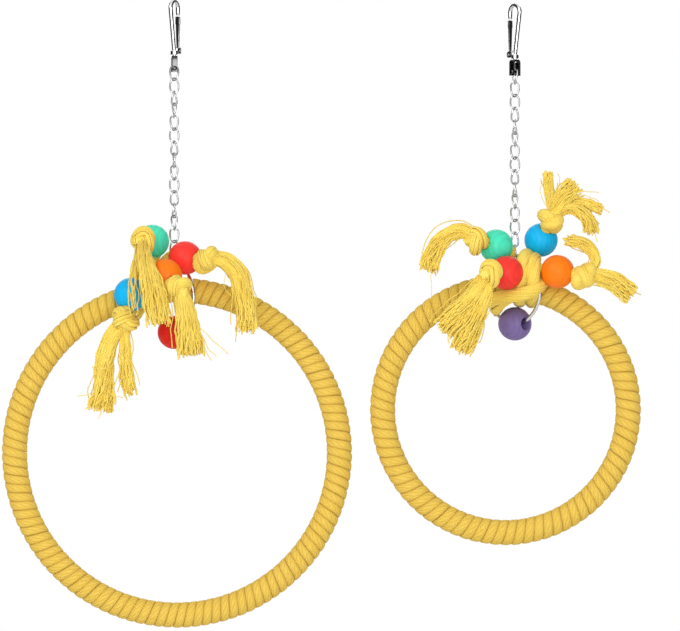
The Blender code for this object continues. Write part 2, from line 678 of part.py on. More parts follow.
def make_cord(prefix, name, swing, top, ends, tie):
    """One tie cord: through a bead to its knot at either end, and round the rope between."""
    first, second, route = tie
    mouth = BEAD_DIAMETER / 2 + CORD_STRAIGHT_PAST_BEAD
    knot_way = BEAD_DIAMETER / 2 + KNOT_LENGTH / 2 - LAP
    start, finish = ends[first], ends[second]
    ways = [Vector(end["way"]).normalized() for end in (start, finish)]
    beads = [mm(*end["bead"]) for end in (start, finish)]
    middle = [beads[0] - ways[0] * mouth] + [mm(*point) for point in route] + [beads[1] - ways[1] * mouth]
    points = [beads[0] + ways[0] * knot_way] + smooth_route(middle, 2) + [beads[1] + ways[1] * knot_way]
    shape = as_mesh(f"{prefix}_{name}", tube_curve("tie", points, CORD_DIAMETER / 2, resolution=2))
    cord = add_object(f"{prefix}_{name}", shape, COTTON, swing, Matrix.Translation(top))
    for end, way, bead in zip((start, finish), ways, beads):
        join(cord, knot_mesh("knot", bead + way * knot_way, way))
        for stations in end["bunches"]:
            join(cord, bunch_mesh("bunch", stations))


def make_swing(
        prefix, where, links, hook_turn, first_turn, advance, diameter, sidestep, turns, rope_drop,
        book_turn, ends, ties):
    swing = empty(f"{prefix}_swing", None, where)
    make_hook(prefix, swing, hook_turn)
    make_stirrup(prefix, swing, first_turn + LINK_TWIST / 2 + math.pi / 2)
    make_chain(prefix, swing, links, first_turn, advance)
    middle = Vector((0, 0, -chain_bottom(links) - BOOK_RING_RADIUS))
    make_book_ring(prefix, swing, middle, book_turn)
    top = Vector((0, 0, -chain_bottom(links) - rope_drop))
    make_ring(prefix, swing, top, diameter, sidestep, turns)
    level = ring_turn(book_turn) @ Vector((1, 0, 0))
    add_bead(f"{prefix}_bead_lower", LOWER_BEAD_DYES[prefix], swing, lower_bead_centre(middle), level)
    for colour, end in ends.items():
        way = Vector(end["way"]).normalized()
        add_bead(f"{prefix}_bead_{colour}", BEAD_DYES[colour], swing, top + mm(*end["bead"]), way)
    for name, tie in ties.items():
        make_cord(prefix, name, swing, top, ends, tie)


make_swing(
    "large", Vector((0, 0, 0)), LARGE_LINKS, LARGE_HOOK_TURN, LARGE_FIRST_LINK_TURN, LARGE_LINK_ADVANCE,
    LARGE_RING_DIAMETER, LARGE_RING_SIDESTEP, LARGE_WRAP_TURNS, LARGE_ROPE_BELOW_BOOK_RING_TOP,
    LARGE_BOOK_RING_TURN, LARGE_ENDS, LARGE_TIES)
make_swing(
    "small", Vector((SWING_SPACING, 0, -SMALL_HOOK_DROP)), SMALL_LINKS, SMALL_HOOK_TURN,
    SMALL_FIRST_LINK_TURN, SMALL_LINK_ADVANCE, SMALL_RING_DIAMETER, SMALL_RING_SIDESTEP, SMALL_WRAP_TURNS,
    SMALL_ROPE_BELOW_BOOK_RING_TOP, SMALL_BOOK_RING_TURN, SMALL_ENDS, SMALL_TIES)
bpy.context.view_layer.update()
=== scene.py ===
import math

import bmesh
import bpy
from mathutils import Matrix, Vector
from mathutils.geometry import interpolate_bezier


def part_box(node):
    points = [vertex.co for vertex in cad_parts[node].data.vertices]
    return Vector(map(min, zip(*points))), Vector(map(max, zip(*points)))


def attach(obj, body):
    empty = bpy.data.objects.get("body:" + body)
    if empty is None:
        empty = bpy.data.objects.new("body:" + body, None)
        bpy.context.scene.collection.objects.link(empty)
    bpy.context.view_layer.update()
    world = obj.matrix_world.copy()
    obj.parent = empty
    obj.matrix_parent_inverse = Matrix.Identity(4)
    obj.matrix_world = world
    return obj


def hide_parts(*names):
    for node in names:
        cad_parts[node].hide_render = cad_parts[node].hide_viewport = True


# Looks of a pair of hanging ring swings for birds, in the frame of their solids.
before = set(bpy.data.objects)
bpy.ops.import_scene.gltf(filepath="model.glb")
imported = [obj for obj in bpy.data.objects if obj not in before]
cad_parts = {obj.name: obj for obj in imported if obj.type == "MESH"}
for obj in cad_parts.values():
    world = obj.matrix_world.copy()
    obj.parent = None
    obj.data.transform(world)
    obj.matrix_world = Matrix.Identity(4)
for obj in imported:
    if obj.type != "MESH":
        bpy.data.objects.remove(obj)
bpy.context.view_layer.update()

MM = 0.001
GOLDEN_ANGLE = 2.399963
CREASE_ANGLE = math.radians(38)

# The two swings, in metres and radians. A sidestep is how far a ring's middle hangs to one side.
SWINGS = {
    "large": {
        "hook": Vector((0, 0, 0)), "rope_top": Vector((0, 0, -0.18852)),
        "ring_radius": 0.1067, "sidestep": 0.0018, "turns": 57, "links": 16,
        "hook_turn": math.radians(62), "link_turn": math.radians(-20), "link_advance": math.radians(42),
        "book_middle": -0.0051, "book_turn": math.radians(-54),
    },
    "small": {
        "hook": Vector((0.2238, 0, -0.0026)), "rope_top": Vector((0.2238, 0, -0.18652)),
        "ring_radius": 0.0807, "sidestep": -0.0062, "turns": 40, "links": 15,
        "hook_turn": math.radians(128), "link_turn": math.radians(-66), "link_advance": math.radians(36),
        "book_middle": -0.0015, "book_turn": math.radians(-45),
    },
}
ROPE_RADIUS = 8.3 * MM
ROPE_STRANDS = 2
POINTS_PER_TURN = 40
STRAND_HALF_HEIGHT = 2.0 * MM
BEAD_RADIUS = 11.0 * MM
BEAD_HOLE_RADIUS = 4.2 * MM
BEAD_MOUTH = BEAD_RADIUS + 1.5 * MM
CORD_IN_BEAD = 8 * MM
CORD_RADIUS = 3.6 * MM
KNOT_CORD_RADIUS = 4.1 * MM
WRAP_RADIUS = 4.5 * MM
KNOT_REACH = 17.3 * MM
LINK_TWIST = math.radians(50)
STIRRUP_TOP = -34.0 * MM
RIVET_HEIGHT = STIRRUP_TOP - 8.8 * MM

# Tie cord ends: bead middle, the way the cord leaves it, and the frayed bunches past the knot.
# Millimetres from the middle of the rope under the chain; a bunch lists points and half widths.
ENDS = {
    "large": {
        "green": {
            "bead": (-14.0, -7.0, 32.0), "way": (-0.31, -0.95, 0.03),
            "bunches": [
                [(-20, -25, 31, 6), (-18.5, -40, 22, 6), (-14.5, -51, 9, 7), (-11, -53, -6, 8),
                 (-6.5, -51, -23, 8.5)],
                [(-22, -30, 26, 2.5), (-25, -39, 12, 3.2), (-25.5, -41, -6, 3.4), (-24.5, -41, -17, 3)],
            ],
            "sparse": (1,),
        },
        "red": {
            "bead": (7.8, -20.1, 21.0), "way": (0.8, -0.59, -0.08),
            "bunches": [
                [(25, -30, 20.5, 6.5), (34, -30, 18.5, 6.5), (42.5, -29, 9.5, 7.5), (46, -28, -4, 7.3),
                 (48.5, -28, -16, 6.5), (49.7, -28, -28, 6.8)],
            ],
        },
        "orange": {
            "bead": (-4.5, -34.7, 9.3), "way": (0.45, -0.78, -0.43),
            "bunches": [
                [(4.5, -50, 0.5, 6), (7, -50, -9, 7), (10, -48, -24, 8.5), (13, -46, -43, 10)],
            ],
        },
        "blue": {
            "bead": (-27.5, -22.4, -3.0), "way": (-0.2, -0.35, -0.91),
            "bunches": [
                [(-32, -27, -21, 6), (-38.5, -28, -29, 6), (-43, -28, -42, 6.8), (-45, -28, -54, 6.8),
                 (-45.5, -28, -66, 8), (-48, -28, -79, 10.5)],
                [(-31.5, -27, -21, 4), (-31, -27, -34, 4), (-30, -27, -52, 4.5), (-28.4, -27, -68.7, 5.4)],
            ],
        },
    },
    "small": {
        "green": {
            "bead": (-12.8, -15.0, 26.8), "way": (-0.75, -0.62, 0.2),
            "bunches": [
                [(-25.5, -25.5, 31, 6), (-35, -27, 37, 5.8), (-44.5, -27, 34.5, 6), (-52, -27, 26.5, 6.3),
                 (-56, -27, 16, 6.8), (-57, -27, 9, 7)],
            ],
        },
        "red": {
            "bead": (-6.6, -27.5, 9.2), "way": (-0.6, -0.8, 0.0),
            "bunches": [
                [(-20, -41, 6, 6.5), (-26, -43, -2, 7), (-34, -42, -12, 8), (-42, -41, -21, 9),
                 (-49, -40, -29, 8.5)],
                [(-19.5, -41, 5, 6), (-22.5, -43, -6, 7), (-27, -42, -18, 8.5), (-32.5, -41, -31, 9),
                 (-37.5, -40, -43, 7)],
            ],
        },
        "blue": {
            "bead": (17.1, -2.0, 31.0), "way": (0.34, -0.6, 0.72),
            "bunches": [
                [(24, -13, 47, 5), (28, -13, 55, 5.5), (33.5, -12, 62, 7), (40.5, -11, 67.5, 8.5)],
                [(23.5, -13, 48, 3), (22.5, -13, 60, 3), (21, -13, 76, 3.5)],
                [(25.5, -13, 47, 4), (34, -13, 52, 4), (42.5, -13, 49, 4.3), (48, -13, 42.5, 5),
                 (50.5, -13, 34, 5.5)],
                [(27, -9.5, 47.2, 3.3), (36.5, -9, 54.2, 3.4), (46, -9, 55, 3.2), (57, -9, 49.5, 2.5)],
            ],
        },
        "orange": {
            "bead": (26.9, -22.0, 10.0), "way": (0.96, -0.2, -0.17),
            "bunches": [
                [(45, -25.5, 6.8, 5.5), (54, -26, 6.5, 5.8), (65, -26, 2.5, 6.8), (77, -26, -5.5, 7.5)],
                [(46, -25, 7.5, 4), (52, -24, 17, 4), (48, -23, 25, 4), (40, -23, 29, 4),
                 (31, -23, 30.5, 3.5)],
            ],
        },
    },
}
# Single yarns that stand clear of a tassel.
LOOSE_YARNS = {
    ("large", "orange"): [
        [(14, -50, -20), (18.8, -51, -25.3), (28, -51, -34), (36.8, -50, -41.2)],
        [(16, -50, -24), (19.6, -51, -30.5), (24, -51, -37.5), (29.1, -50, -42.5)],
        [(17, -50, -28), (20.5, -51, -35.6), (23.5, -50, -41), (25.6, -50, -44.6)],
    ],
    ("large", "blue"): [
        [(-47, -31, -58), (-50, -34, -66), (-55.5, -34, -68.3), (-62, -33, -69.1)],
        [(-44, -33, -63), (-40, -34, -68), (-36.6, -34, -69.5), (-31.5, -33, -70.8)],
        [(-52, -33, -50), (-49.9, -36, -51.3), (-43, -37, -50.7), (-38.8, -35, -47.6)],
        [(-46, -30, -74), (-46.9, -30, -81), (-48.6, -30, -84.6)],
    ],
    ("large", "red"): [[(35, -31, 13), (33.8, -33, 7.3), (33.4, -33, 3), (35.9, -32, -1.2), (40, -31, -5)]],
    ("small", "blue"): [
        [(22, -14, 50), (18, -15, 57), (16.3, -15, 64), (16.7, -14, 71.3)],
        [(26, -14, 56), (28, -15, 64), (28.6, -15, 69), (27.6, -14, 74.4)],
        [(36, -13, 62), (44, -14, 62.6), (54.4, -13, 61.9)],
        [(38, -13, 61), (45, -14, 60), (53.8, -13, 56)],
    ],
    ("small", "green"): [[(-55, -31, 14), (-55.6, -31, 6.7), (-55, -31, -1), (-55.4, -31, -8.4)]],
}
# Each tie cord runs from one bead, round the rope, to another.
TIES = {
    "large": {
        "cord_a": ("green", "red", [
            (-11, 10, 27), (-15, 11.8, 19), (-20, 13.5, 13.5), (-25, 14, 6), (-24.2, 12.5, -5),
            (-26, 8.8, -13.5), (-25, -0.5, -16.5), (-22, -10, -12.2), (-15.5, -12.8, -3),
            (-12.5, -10.8, 6.5), (-8.5, -6.5, 15.5)]),
        "cord_b": ("orange", "blue", [(-14.5, -14.5, 18), (-20.5, -10.5, 18), (-24.5, -11.5, 15.5)]),
    },
    "small": {
        "cord_a": ("green", "blue", [
            (-3.8, -5.2, 17.2), (-5, 2.5, 13.6), (-6, 9.5, 9.3), (-7.5, 13.2, -1), (-12, 9.8, -9.5),
            (-12.5, 0, -14.8), (-9, -10, -10.5), (-2, -13.2, -6), (4.5, -12.8, -0.5), (8.3, -9.6, 7.6),
            (8.5, -4.6, 12.8), (10, 0.5, 15.5)]),
        "cord_b": ("red", "orange", [(7.5, -16.9, 8.9), (11, -18, 10)]),
    },
}
# Turns of the lacing that bind the rope and the book ring together, as closed loops.
WRAPS = {
    "large": {},
    "small": {
        "cord_a": [
            [(13, 11.5, 2), (0, 12, -5), (-14, 3, -9.5), (-16, -10, -8.5), (-9, -19.5, -6.5), (2, -26, -4.8),
             (12, -24.5, -1.5), (18, -13, 4.5), (18.5, 1, 8.5)],
        ],
        "cord_b": [
            [(4, 12.5, 2), (3.5, 8.5, -8), (3, -2, -8.5), (2.5, -13, -6.5), (2.5, -22, 2), (3, -25, 10),
             (5, -20, 18), (7.5, -10, 21), (7.5, 0, 17.5), (6, 8.5, 10.5)],
            [(11.5, 12.5, 2), (11, 8.5, -8), (11, -2, -9), (10.5, -13, -6.5), (10.5, -22, 1), (10.8, -25, 9),
             (11.5, -20, 16), (12.5, -9, 18.5), (12.5, 0, 16), (12, 8.5, 10)],
        ],
    },
}
BEAD_DYES = {
    "green": (0.07, 0.78, 0.50), "red": (0.94, 0.041, 0.03), "orange": (1.0, 0.21, 0.004),
    "blue": (0.002, 0.47, 0.90), "large_lower": (0.84, 0.017, 0.009), "small_lower": (0.20, 0.145, 0.36),
}


# Node formulas

GEOMETRY, FINISH, FLOAT = "NodeSocketGeometry", "NodeSocketMaterial", "NodeSocketFloat"
SOCKET_KINDS = {int: "NodeSocketInt", float: FLOAT, tuple: "NodeSocketVector"}


def feed(tree, slot, value):
    """Link a wire to a node's input, or write a plain value there."""
    if isinstance(value, Wire):
        tree.links.new(value.socket, slot)
    else:
        slot.default_value = value


class Wire:
    """A socket; arithmetic on it adds the nodes of the formula to its tree."""

    def __init__(self, tree, socket):
        self.tree = tree
        self.socket = socket

    def beside(self, output):
        """Another output of the same node."""
        return Wire(self.tree, self.socket.node.outputs[output])

    def is_vector(self):
        return self.socket.type in {"VECTOR", "RGBA"}

    def op(self, operation, *others):
        values = (self, *others)
        vector = any(isinstance(v, Wire) and v.is_vector() or isinstance(v, tuple) for v in values)
        made = self.tree.nodes.new("ShaderNodeVectorMath" if vector else "ShaderNodeMath")
        made.operation = operation
        for slot, value in zip(made.inputs, values):
            feed(self.tree, slot, value)
        return Wire(self.tree, made.outputs[0])

    def __add__(self, other):
        return self.op("ADD", other)

    def __sub__(self, other):
        return self.op("SUBTRACT", other)

    def __rsub__(self, other):
        return (self * -1.0).op("ADD", other)

    def __mul__(self, other):
        scalar = isinstance(other, (int, float)) or isinstance(other, Wire) and not other.is_vector()
        if not (self.is_vector() and scalar):
            return self.op("MULTIPLY", other)
        made = self.tree.nodes.new("ShaderNodeVectorMath")
        made.operation = "SCALE"
        feed(self.tree, made.inputs["Vector"], self)
        feed(self.tree, made.inputs["Scale"], other)
        return Wire(self.tree, made.outputs[0])

    def __truediv__(self, other):
        return self.op("DIVIDE", other)

    def power(self, exponent):
        return self.op("POWER", exponent)

    def cos(self):
        return self.op("COSINE")

    def sin(self):
        return self.op("SINE")

    def absolute(self):
        return self.op("ABSOLUTE")

    def cross(self, other):
        return self.op("CROSS_PRODUCT", other)

    def unit(self):
        return self.op("NORMALIZE")

    def rounded_square(self, squareness):
        """Bend a cosine or sine so that a circle drawn with it turns into a rounded square."""
        return self.op("SIGN") * self.absolute().power(squareness.power(-1.0) * 2.0)


class NodeBook:
    """One node tree while it is written."""

    def __init__(self, tree):
        self.tree = tree

    def add(self, kind, values=(), output=0, **settings):
        """Place a node; values go to its inputs by order, or by name or number from a dictionary."""
        made = self.tree.nodes.new(kind)
        for key, setting in settings.items():
            setattr(made, key, setting)
        pairs = values.items() if isinstance(values, dict) else enumerate(values)
        for key, value in pairs:
            feed(self.tree, made.inputs[key], value)
        return Wire(self.tree, made.outputs[output])

    def vector(self, x, y, z):
        return self.add("ShaderNodeCombineXYZ", (x, y, z))

    def part(self, wire, axis):
        return self.add("ShaderNodeSeparateXYZ", (wire,), axis)

    def own_place(self):
        return self.add("ShaderNodeTexCoord", (), "Object")

    def noise(self, place, scale, detail):
        """A number that wanders between 0 and 1."""
        return self.add("ShaderNodeTexNoise", {"Vector": place, "Scale": scale, "Detail": detail})

    def drift(self, place, scale, detail, stir=None):
        """A vector that wanders about zero; each stir gives another pattern."""
        values = {"Vector": place, "Scale": scale, "Detail": detail}
        if stir is not None:
            values["W"] = stir
        dimensions = "3D" if stir is None else "4D"
        noise = self.add("ShaderNodeTexNoise", values, "Color", noise_dimensions=dimensions)
        return noise - (0.5, 0.5, 0.5)


class GroupBook(NodeBook):
    """A node group; an input's plain value picks its socket, and a word names a socket without one."""

    def __init__(self, name, kind, inputs, outputs):
        super().__init__(bpy.data.node_groups.new(name, kind))
        for label, value in inputs.items():
            if isinstance(value, str):
                self.tree.interface.new_socket(label, in_out="INPUT", socket_type=value)
                continue
            made = self.tree.interface.new_socket(
                label, in_out="INPUT", socket_type=SOCKET_KINDS[type(value)])
            made.default_value = value
        for label, socket_kind in outputs.items():
            self.tree.interface.new_socket(label, in_out="OUTPUT", socket_type=socket_kind)
        self.given = self.tree.nodes.new("NodeGroupInput")
        self.result = self.tree.nodes.new("NodeGroupOutput")

    def __getitem__(self, label):
        return Wire(self.tree, self.given.outputs[label])

    def give(self, *wires):
        for slot, wire in zip(self.result.inputs, wires):
            feed(self.tree, slot, wire)
        return self.tree


class ShapeBook(GroupBook):
    """A geometry tree that turns a path and named sizes into a dressed mesh."""

    def __init__(self, name, **sizes):
        inputs = {"path": GEOMETRY, **sizes, "finish": FINISH}
        super().__init__(name, "GeometryNodeTree", inputs, {"mesh": GEOMETRY})

    def attribute(self, label):
        return self.add("GeometryNodeInputNamedAttribute", (label,), data_type="FLOAT")

    def store(self, geometry, label, value):
        return self.add("GeometryNodeStoreNamedAttribute", {
            "Geometry": geometry, "Name": label, "Value": value}, data_type="FLOAT")

    def finish_mesh(self, mesh):
        """Shade smooth, realize and dress the mesh, and hand it out."""
        smooth = self.add("GeometryNodeSetShadeSmooth", {"Geometry": mesh})
        real = self.add("GeometryNodeRealizeInstances", {"Geometry": smooth})
        return self.give(self.add("GeometryNodeSetMaterial", {
            "Geometry": real, "Material": self["finish"]}))


# Shape trees

def winding_tree():
    """One strand of the rope: a rounded flat band that winds round a ring and closes on itself."""
    book = ShapeBook(
        "rope_strand", ring_radius=0.1, lay_radius=0.006, turns=50, strands=2, start=0.0,
        half_height=0.002, fill=1.0, squareness=3.0, points_along=1000, points_round=16,
        wander=0.0002, seed=0.0)
    wander_scale, wander_per_turn, rise_share, inner_squareness = 9.0, 0.02, 0.5, 0.6
    merge_distance = 0.00001
    ring, lay, turns = book["ring_radius"], book["lay_radius"], book["turns"]
    grid = book.add("GeometryNodeMeshGrid", {
        "Size X": 1.0, "Size Y": 1.0, "Vertices X": book["points_along"],
        "Vertices Y": book["points_round"]})
    place = book.add("GeometryNodeInputPosition")
    along, around = book.part(place, 0) + 0.5, book.part(place, 1) + 0.5
    theta = along * math.tau + math.pi / 2
    swirl = along * turns * math.tau + book["start"]

    # The noise is read on a circle, so that it closes with the ring.
    circle = book.vector(theta.cos(), theta.sin(), swirl.cos() * wander_per_turn)
    drift = book.drift(circle, wander_scale, detail=2.0, stir=book["seed"]) * book["wander"] * 2.0
    theta = theta + book.part(drift, 0) / ring

    outward = book.vector(theta.cos(), 0.0, theta.sin())
    onward = book.vector(theta.sin() * -1.0, 0.0, theta.cos())
    forward = book.vector(0.0, -1.0, 0.0)
    normal = outward * swirl.cos() + forward * swirl.sin()
    round_way = forward * swirl.cos() - outward * swirl.sin()
    reach = ring + lay * swirl.cos()
    tangent = (onward * reach + round_way * (lay * turns)).unit()
    across = tangent.cross(normal).unit()
    rise = lay + book.part(drift, 1) * rise_share
    middle = outward * ring + normal * rise

    # Neighbouring strands touch, so a strand is as wide as its share of the ring at its slant.
    slant = reach / (lay * turns)
    lean = (slant * slant + 1.0).power(-0.5)
    half_width = reach * math.pi / (turns * book["strands"]) * lean * book["fill"]
    angle = around * math.tau
    square = book["squareness"] - swirl.cos() * inner_squareness
    flat_x, flat_y = angle.cos().rounded_square(square), angle.sin().rounded_square(square)
    spot = middle + across * (half_width * flat_x) + normal * (book["half_height"] * flat_y)

    strand = book.store(grid, "round_yarn", around)
    strand = book.store(strand, "along_yarn", along * turns * math.tau * lay)
    strand = book.store(strand, "edge", flat_x.absolute())
    shaped = book.add("GeometryNodeSetPosition", {"Geometry": strand, "Position": spot})
    closed = book.add("GeometryNodeMergeByDistance", {"Geometry": shaped, "Distance": merge_distance})
    return book.finish_mesh(closed)


def yarn_bundle_tree():
    """A bundle of yarns along a path; it can be laid tight as cord or frayed as a tassel."""
    book = ShapeBook(
        "yarn_bundle", yarns=7, yarn_radius=0.001, plies=1, twist=0.0, ply_twist=0.0, depth=1.0,
        hollow=0.0, reach=1.0, swell=0.0, kink=0.0, kink_scale=110.0, fray=0.0, uneven=0.0,
        step=0.002, sides=6, seed=0)
    jitter, thinnest, thickest = 0.3, 0.82, 1.12
    kink_at_knot, kink_growth, fray_scale, mostly_long = 0.3, 1.4, 30.0, 1.6
    radius, count, plies, seed = book["yarn_radius"], book["yarns"], book["plies"], book["seed"]
    path = book.add("GeometryNodeMeshToCurve", {"Mesh": book["path"]})
    path = book.add("GeometryNodeResampleCurve", {"Curve": path, "Length": book["step"]}, mode="LENGTH")
    yarns = book.add(
        "GeometryNodeDuplicateElements", {"Geometry": path, "Amount": count}, domain="SPLINE")
    index = yarns.beside("Duplicate Index")
    along, half = book.attribute("along"), book.attribute("half_width")
    length = book.add("GeometryNodeSplineParameter", (), "Length")
    side, tangent = book.add("GeometryNodeInputNormal"), book.add("GeometryNodeInputTangent")
    across = tangent.cross(side)

    def chance(low, high, salt):
        """A random number of each yarn's own."""
        return book.add("FunctionNodeRandomValue", {
            2: low, 3: high, "ID": index, "Seed": seed + float(salt)}, 1)

    def towards(angle):
        return side * angle.cos() + across * angle.sin()

    # Yarns fill a ply evenly, or ring it where it is hollow, and the plies turn about each other.
    rank = (index / plies).op("FLOOR")
    narrow = plies.power(-0.5)
    share = ((rank + 0.5) * plies / count).power((1.0 - book["hollow"]) * 0.5)
    golden, even = rank * GOLDEN_ANGLE, index * math.tau / count
    angle = golden + (even - golden) * book["hollow"] + length * book["twist"]
    angle = angle + chance(-jitter, jitter, 1)
    ply_angle = (index - rank * plies) * math.tau / plies + length * book["ply_twist"] + seed * 1.3
    offset = towards(angle) * ((half * narrow - radius) * share * book["reach"])
    offset = offset + towards(ply_angle) * half * (1.0 - narrow)
    offset = offset * book.vector(1.0, book["depth"], 1.0)

    # Kinks grow from the knot to the tip, where the yarns also sway apart. The odd numbers only
    # keep the patterns of neighbouring yarns apart.
    place = book.add("GeometryNodeInputPosition")
    stir = index * 7.31 + seed * 3.17
    kinks = book.drift(place, book["kink_scale"], detail=1.0, stir=stir) * book["kink"]
    loose = kinks * (along * kink_growth + kink_at_knot)
    sways = book.drift(place, fray_scale, detail=1.0, stir=stir + 31.7) * book["fray"]
    loose = loose + sways * (along * along)
    moved = book.add("GeometryNodeSetPosition", {"Geometry": yarns, "Offset": offset + loose})

    limit = 1.0 - chance(0.0, 1.0, 2).power(mostly_long) * book["uneven"]
    past_end = book.add("FunctionNodeCompare", {0: along, 1: limit}, operation="GREATER_THAN")
    cut = book.add(
        "GeometryNodeDeleteGeometry", {"Geometry": moved, "Selection": past_end}, domain="POINT")
    cut = book.store(cut, "along_yarn", length)
    cut = book.store(cut, "tint", chance(0.0, 1.0, 3))
    ring = book.add("GeometryNodeCurvePrimitiveCircle", {"Resolution": book["sides"], "Radius": 1.0})
    ring = book.store(ring, "round_yarn", book.add("GeometryNodeSplineParameter"))
    thick = radius * chance(thinnest, thickest, 4) + half * book["swell"]
    return book.finish_mesh(book.add("GeometryNodeCurveToMesh", {
        "Curve": cut, "Profile Curve": ring, "Scale": thick, "Fill Caps": True}))


def link_tree():
    """An oval wire link that is twisted along its length."""
    book = ShapeBook(
        "twisted_link", half_length=0.00485, bow=0.0029, wire_radius=0.0006, twist=0.87, turn=0.0,
        middle=(0.0, 0.0, 0.0), points=48, sides=12)
    straightness = 1.6
    half, bow = book["half_length"], book["bow"]
    ring = book.add("GeometryNodeMeshCircle", {"Vertices": book["points"], "Radius": 1.0})
    place = book.add("GeometryNodeInputPosition")
    cosine, sine = book.part(place, 0), book.part(place, 1)
    straight = (sine * straightness).op("TANH") * (half - bow) / math.tanh(straightness)
    height = sine * bow + straight
    swirl = book["turn"] + book["twist"] * height / (half * 2.0)
    spot = book.vector(cosine * bow * swirl.cos(), cosine * bow * swirl.sin(), height)
    shaped = book.add("GeometryNodeSetPosition", {"Geometry": ring, "Position": spot + book["middle"]})
    path = book.add("GeometryNodeMeshToCurve", {"Mesh": shaped})
    wire = book.add("GeometryNodeCurvePrimitiveCircle", {
        "Resolution": book["sides"], "Radius": book["wire_radius"]})
    return book.finish_mesh(book.add("GeometryNodeCurveToMesh", {"Curve": path, "Profile Curve": wire}))


def rod_tree():
    """A round rod along a path, as thick as the path's points say."""
    book = ShapeBook("bent_rod", sides=20)
    path = book.add("GeometryNodeMeshToCurve", {"Mesh": book["path"]})
    ring = book.add("GeometryNodeCurvePrimitiveCircle", {"Resolution": book["sides"], "Radius": 1.0})
    return book.finish_mesh(book.add("GeometryNodeCurveToMesh", {
        "Curve": path, "Profile Curve": ring, "Scale": book.attribute("half_width"),
        "Fill Caps": True}))


# Surface effects that finishes share

def effect_book(name, outputs, **inputs):
    """A shader group whose outputs are plain numbers."""
    return GroupBook(name, "ShaderNodeTree", inputs, dict.fromkeys(outputs, FLOAT))


def yarn_relief_group():
    """Twisted plies along a yarn, with small uneven fibres."""
    book = effect_book(
        "yarn_relief", ("height", "fleck"), along=0.0, round=0.0, plies=3.0, lay=300.0,
        fibre_scale=900.0)
    ply_fullness, patch_scale = 0.6, 90.0
    place = book.own_place()
    slope = book["round"] * book["plies"] * math.tau + book["along"] * book["lay"]
    ply = slope.sin().absolute().power(ply_fullness)
    fibre = book.noise(place, book["fibre_scale"], detail=3.0)
    patch = book.noise(place, patch_scale, detail=2.0)
    return book.give(ply * 0.7 + fibre * 0.3, patch * 0.6 + fibre * 0.4)


def fine_scratch_group():
    """Faint wiping marks and smudges on plated metal."""
    book = effect_book("fine_scratches", ("roughness", "height"), base=0.12, spread=0.1, scale=400.0)
    long_marks, smudge_scale = (1.0, 1.0, 0.12), 140.0
    place = book.own_place()
    marks = book.noise(place * long_marks, book["scale"], detail=4.0)
    smudge = book.noise(place, smudge_scale, detail=2.0)
    return book.give(book["base"] + book["spread"] * marks * smudge * 2.0, marks)


def wood_grain_group():
    """Growth lines and pores of a small turned wooden ball, from its own coordinates."""
    book = effect_book(
        "turned_wood_grain", ("grain", "height"), place=(0.0, 0.0, 0.0), ring_scale=330.0,
        pore_scale=1800.0)
    bend_scale, bend_reach, long_pores = 120.0, 0.004, (1.0, 0.12, 0.12)
    place = book["place"]
    bent = place + book.drift(place, bend_scale, detail=2.0) * bend_reach
    rings = (book.part(bent, 0) * book["ring_scale"] * math.tau).sin() * 0.5 + 0.5
    pores = book.noise(place * long_pores, book["pore_scale"], detail=3.0)
    return book.give(rings.power(2.0) * 0.45 + pores * 0.55, pores)


# Finishes

class Finish(NodeBook):
    """A material whose nodes are written like the other trees."""

    def __init__(self, name):
        self.material = bpy.data.materials.new(name)
        self.material.use_nodes = True
        super().__init__(self.material.node_tree)
        self.shader = self.tree.nodes["Principled BSDF"]

    def set(self, **inputs):
        """Give inputs of the shader, written in lower case, a plain value or a wire each."""
        for key, value in inputs.items():
            label = key.replace("_", " ").title().replace("Ior", "IOR")
            feed(self.tree, self.shader.inputs[label], value)

    def read(self, label, output="Fac"):
        return self.add("ShaderNodeAttribute", (), output, attribute_name=label)

    def group(self, tree, **values):
        """Place a shared effect and hand back its outputs by name."""
        made = self.tree.nodes.new("ShaderNodeGroup")
        made.node_tree = tree
        for key, value in values.items():
            feed(self.tree, made.inputs[key], value)
        return {slot.name: Wire(self.tree, slot) for slot in made.outputs}

    def yarn(self, relief, **sizes):
        """The relief of a yarn, along the lines that its mesh carries."""
        return self.group(relief, along=self.read("along_yarn"), round=self.read("round_yarn"), **sizes)

    def blend(self, share, low, high):
        """A colour between two, each three plain numbers or a wire."""
        low, high = ((*end, 1.0) if isinstance(end, tuple) else end for end in (low, high))
        return self.add("ShaderNodeMix", {0: share, 6: low, 7: high}, 2, data_type="RGBA")

    def bump(self, height, distance, strength):
        self.set(normal=self.add("ShaderNodeBump", {
            "Height": height, "Distance": distance, "Strength": strength}))


def darker(colour, share):
    return tuple(channel * share for channel in colour)


def rope_finish(relief):
    """Soft cotton of the wound rope, with painted shade in the grooves where its strands meet."""
    made = Finish("rope_cotton")
    deep, pale, groove_shade = (0.64, 0.368, 0.011), (0.82, 0.595, 0.135), (0.58, 0.31, 0.004)
    groove_shade_sharpness, groove_shade_share, groove_shade_patch_scale = 8.0, 0.65, 170.0
    yarn = made.yarn(relief, plies=6.0, lay=800.0, fibre_scale=1400.0)
    # Painted shade: the colour turns darker in the grooves where neighbouring strands meet, patchy along the
    # rope.
    patchy_groove_shade = made.noise(made.own_place(), groove_shade_patch_scale, detail=2.0)
    groove_shade_mask = made.read("edge").power(groove_shade_sharpness) * patchy_groove_shade * groove_shade_share
    # Partly painted shade and highlight: deeper in the ply grooves and paler on the ply crests; the rest is
    # the yarn's own random fleck.
    tone_and_ply_shade = made.blend(yarn["fleck"] * 0.4 + yarn["height"] * 0.6, deep, pale)
    made.set(base_color=made.blend(groove_shade_mask, tone_and_ply_shade, groove_shade), roughness=0.88, sheen_weight=0.04,
             sheen_roughness=0.5, specular_ior_level=0.08)
    made.bump(yarn["height"], distance=0.5 * MM, strength=0.7)
    return made.material


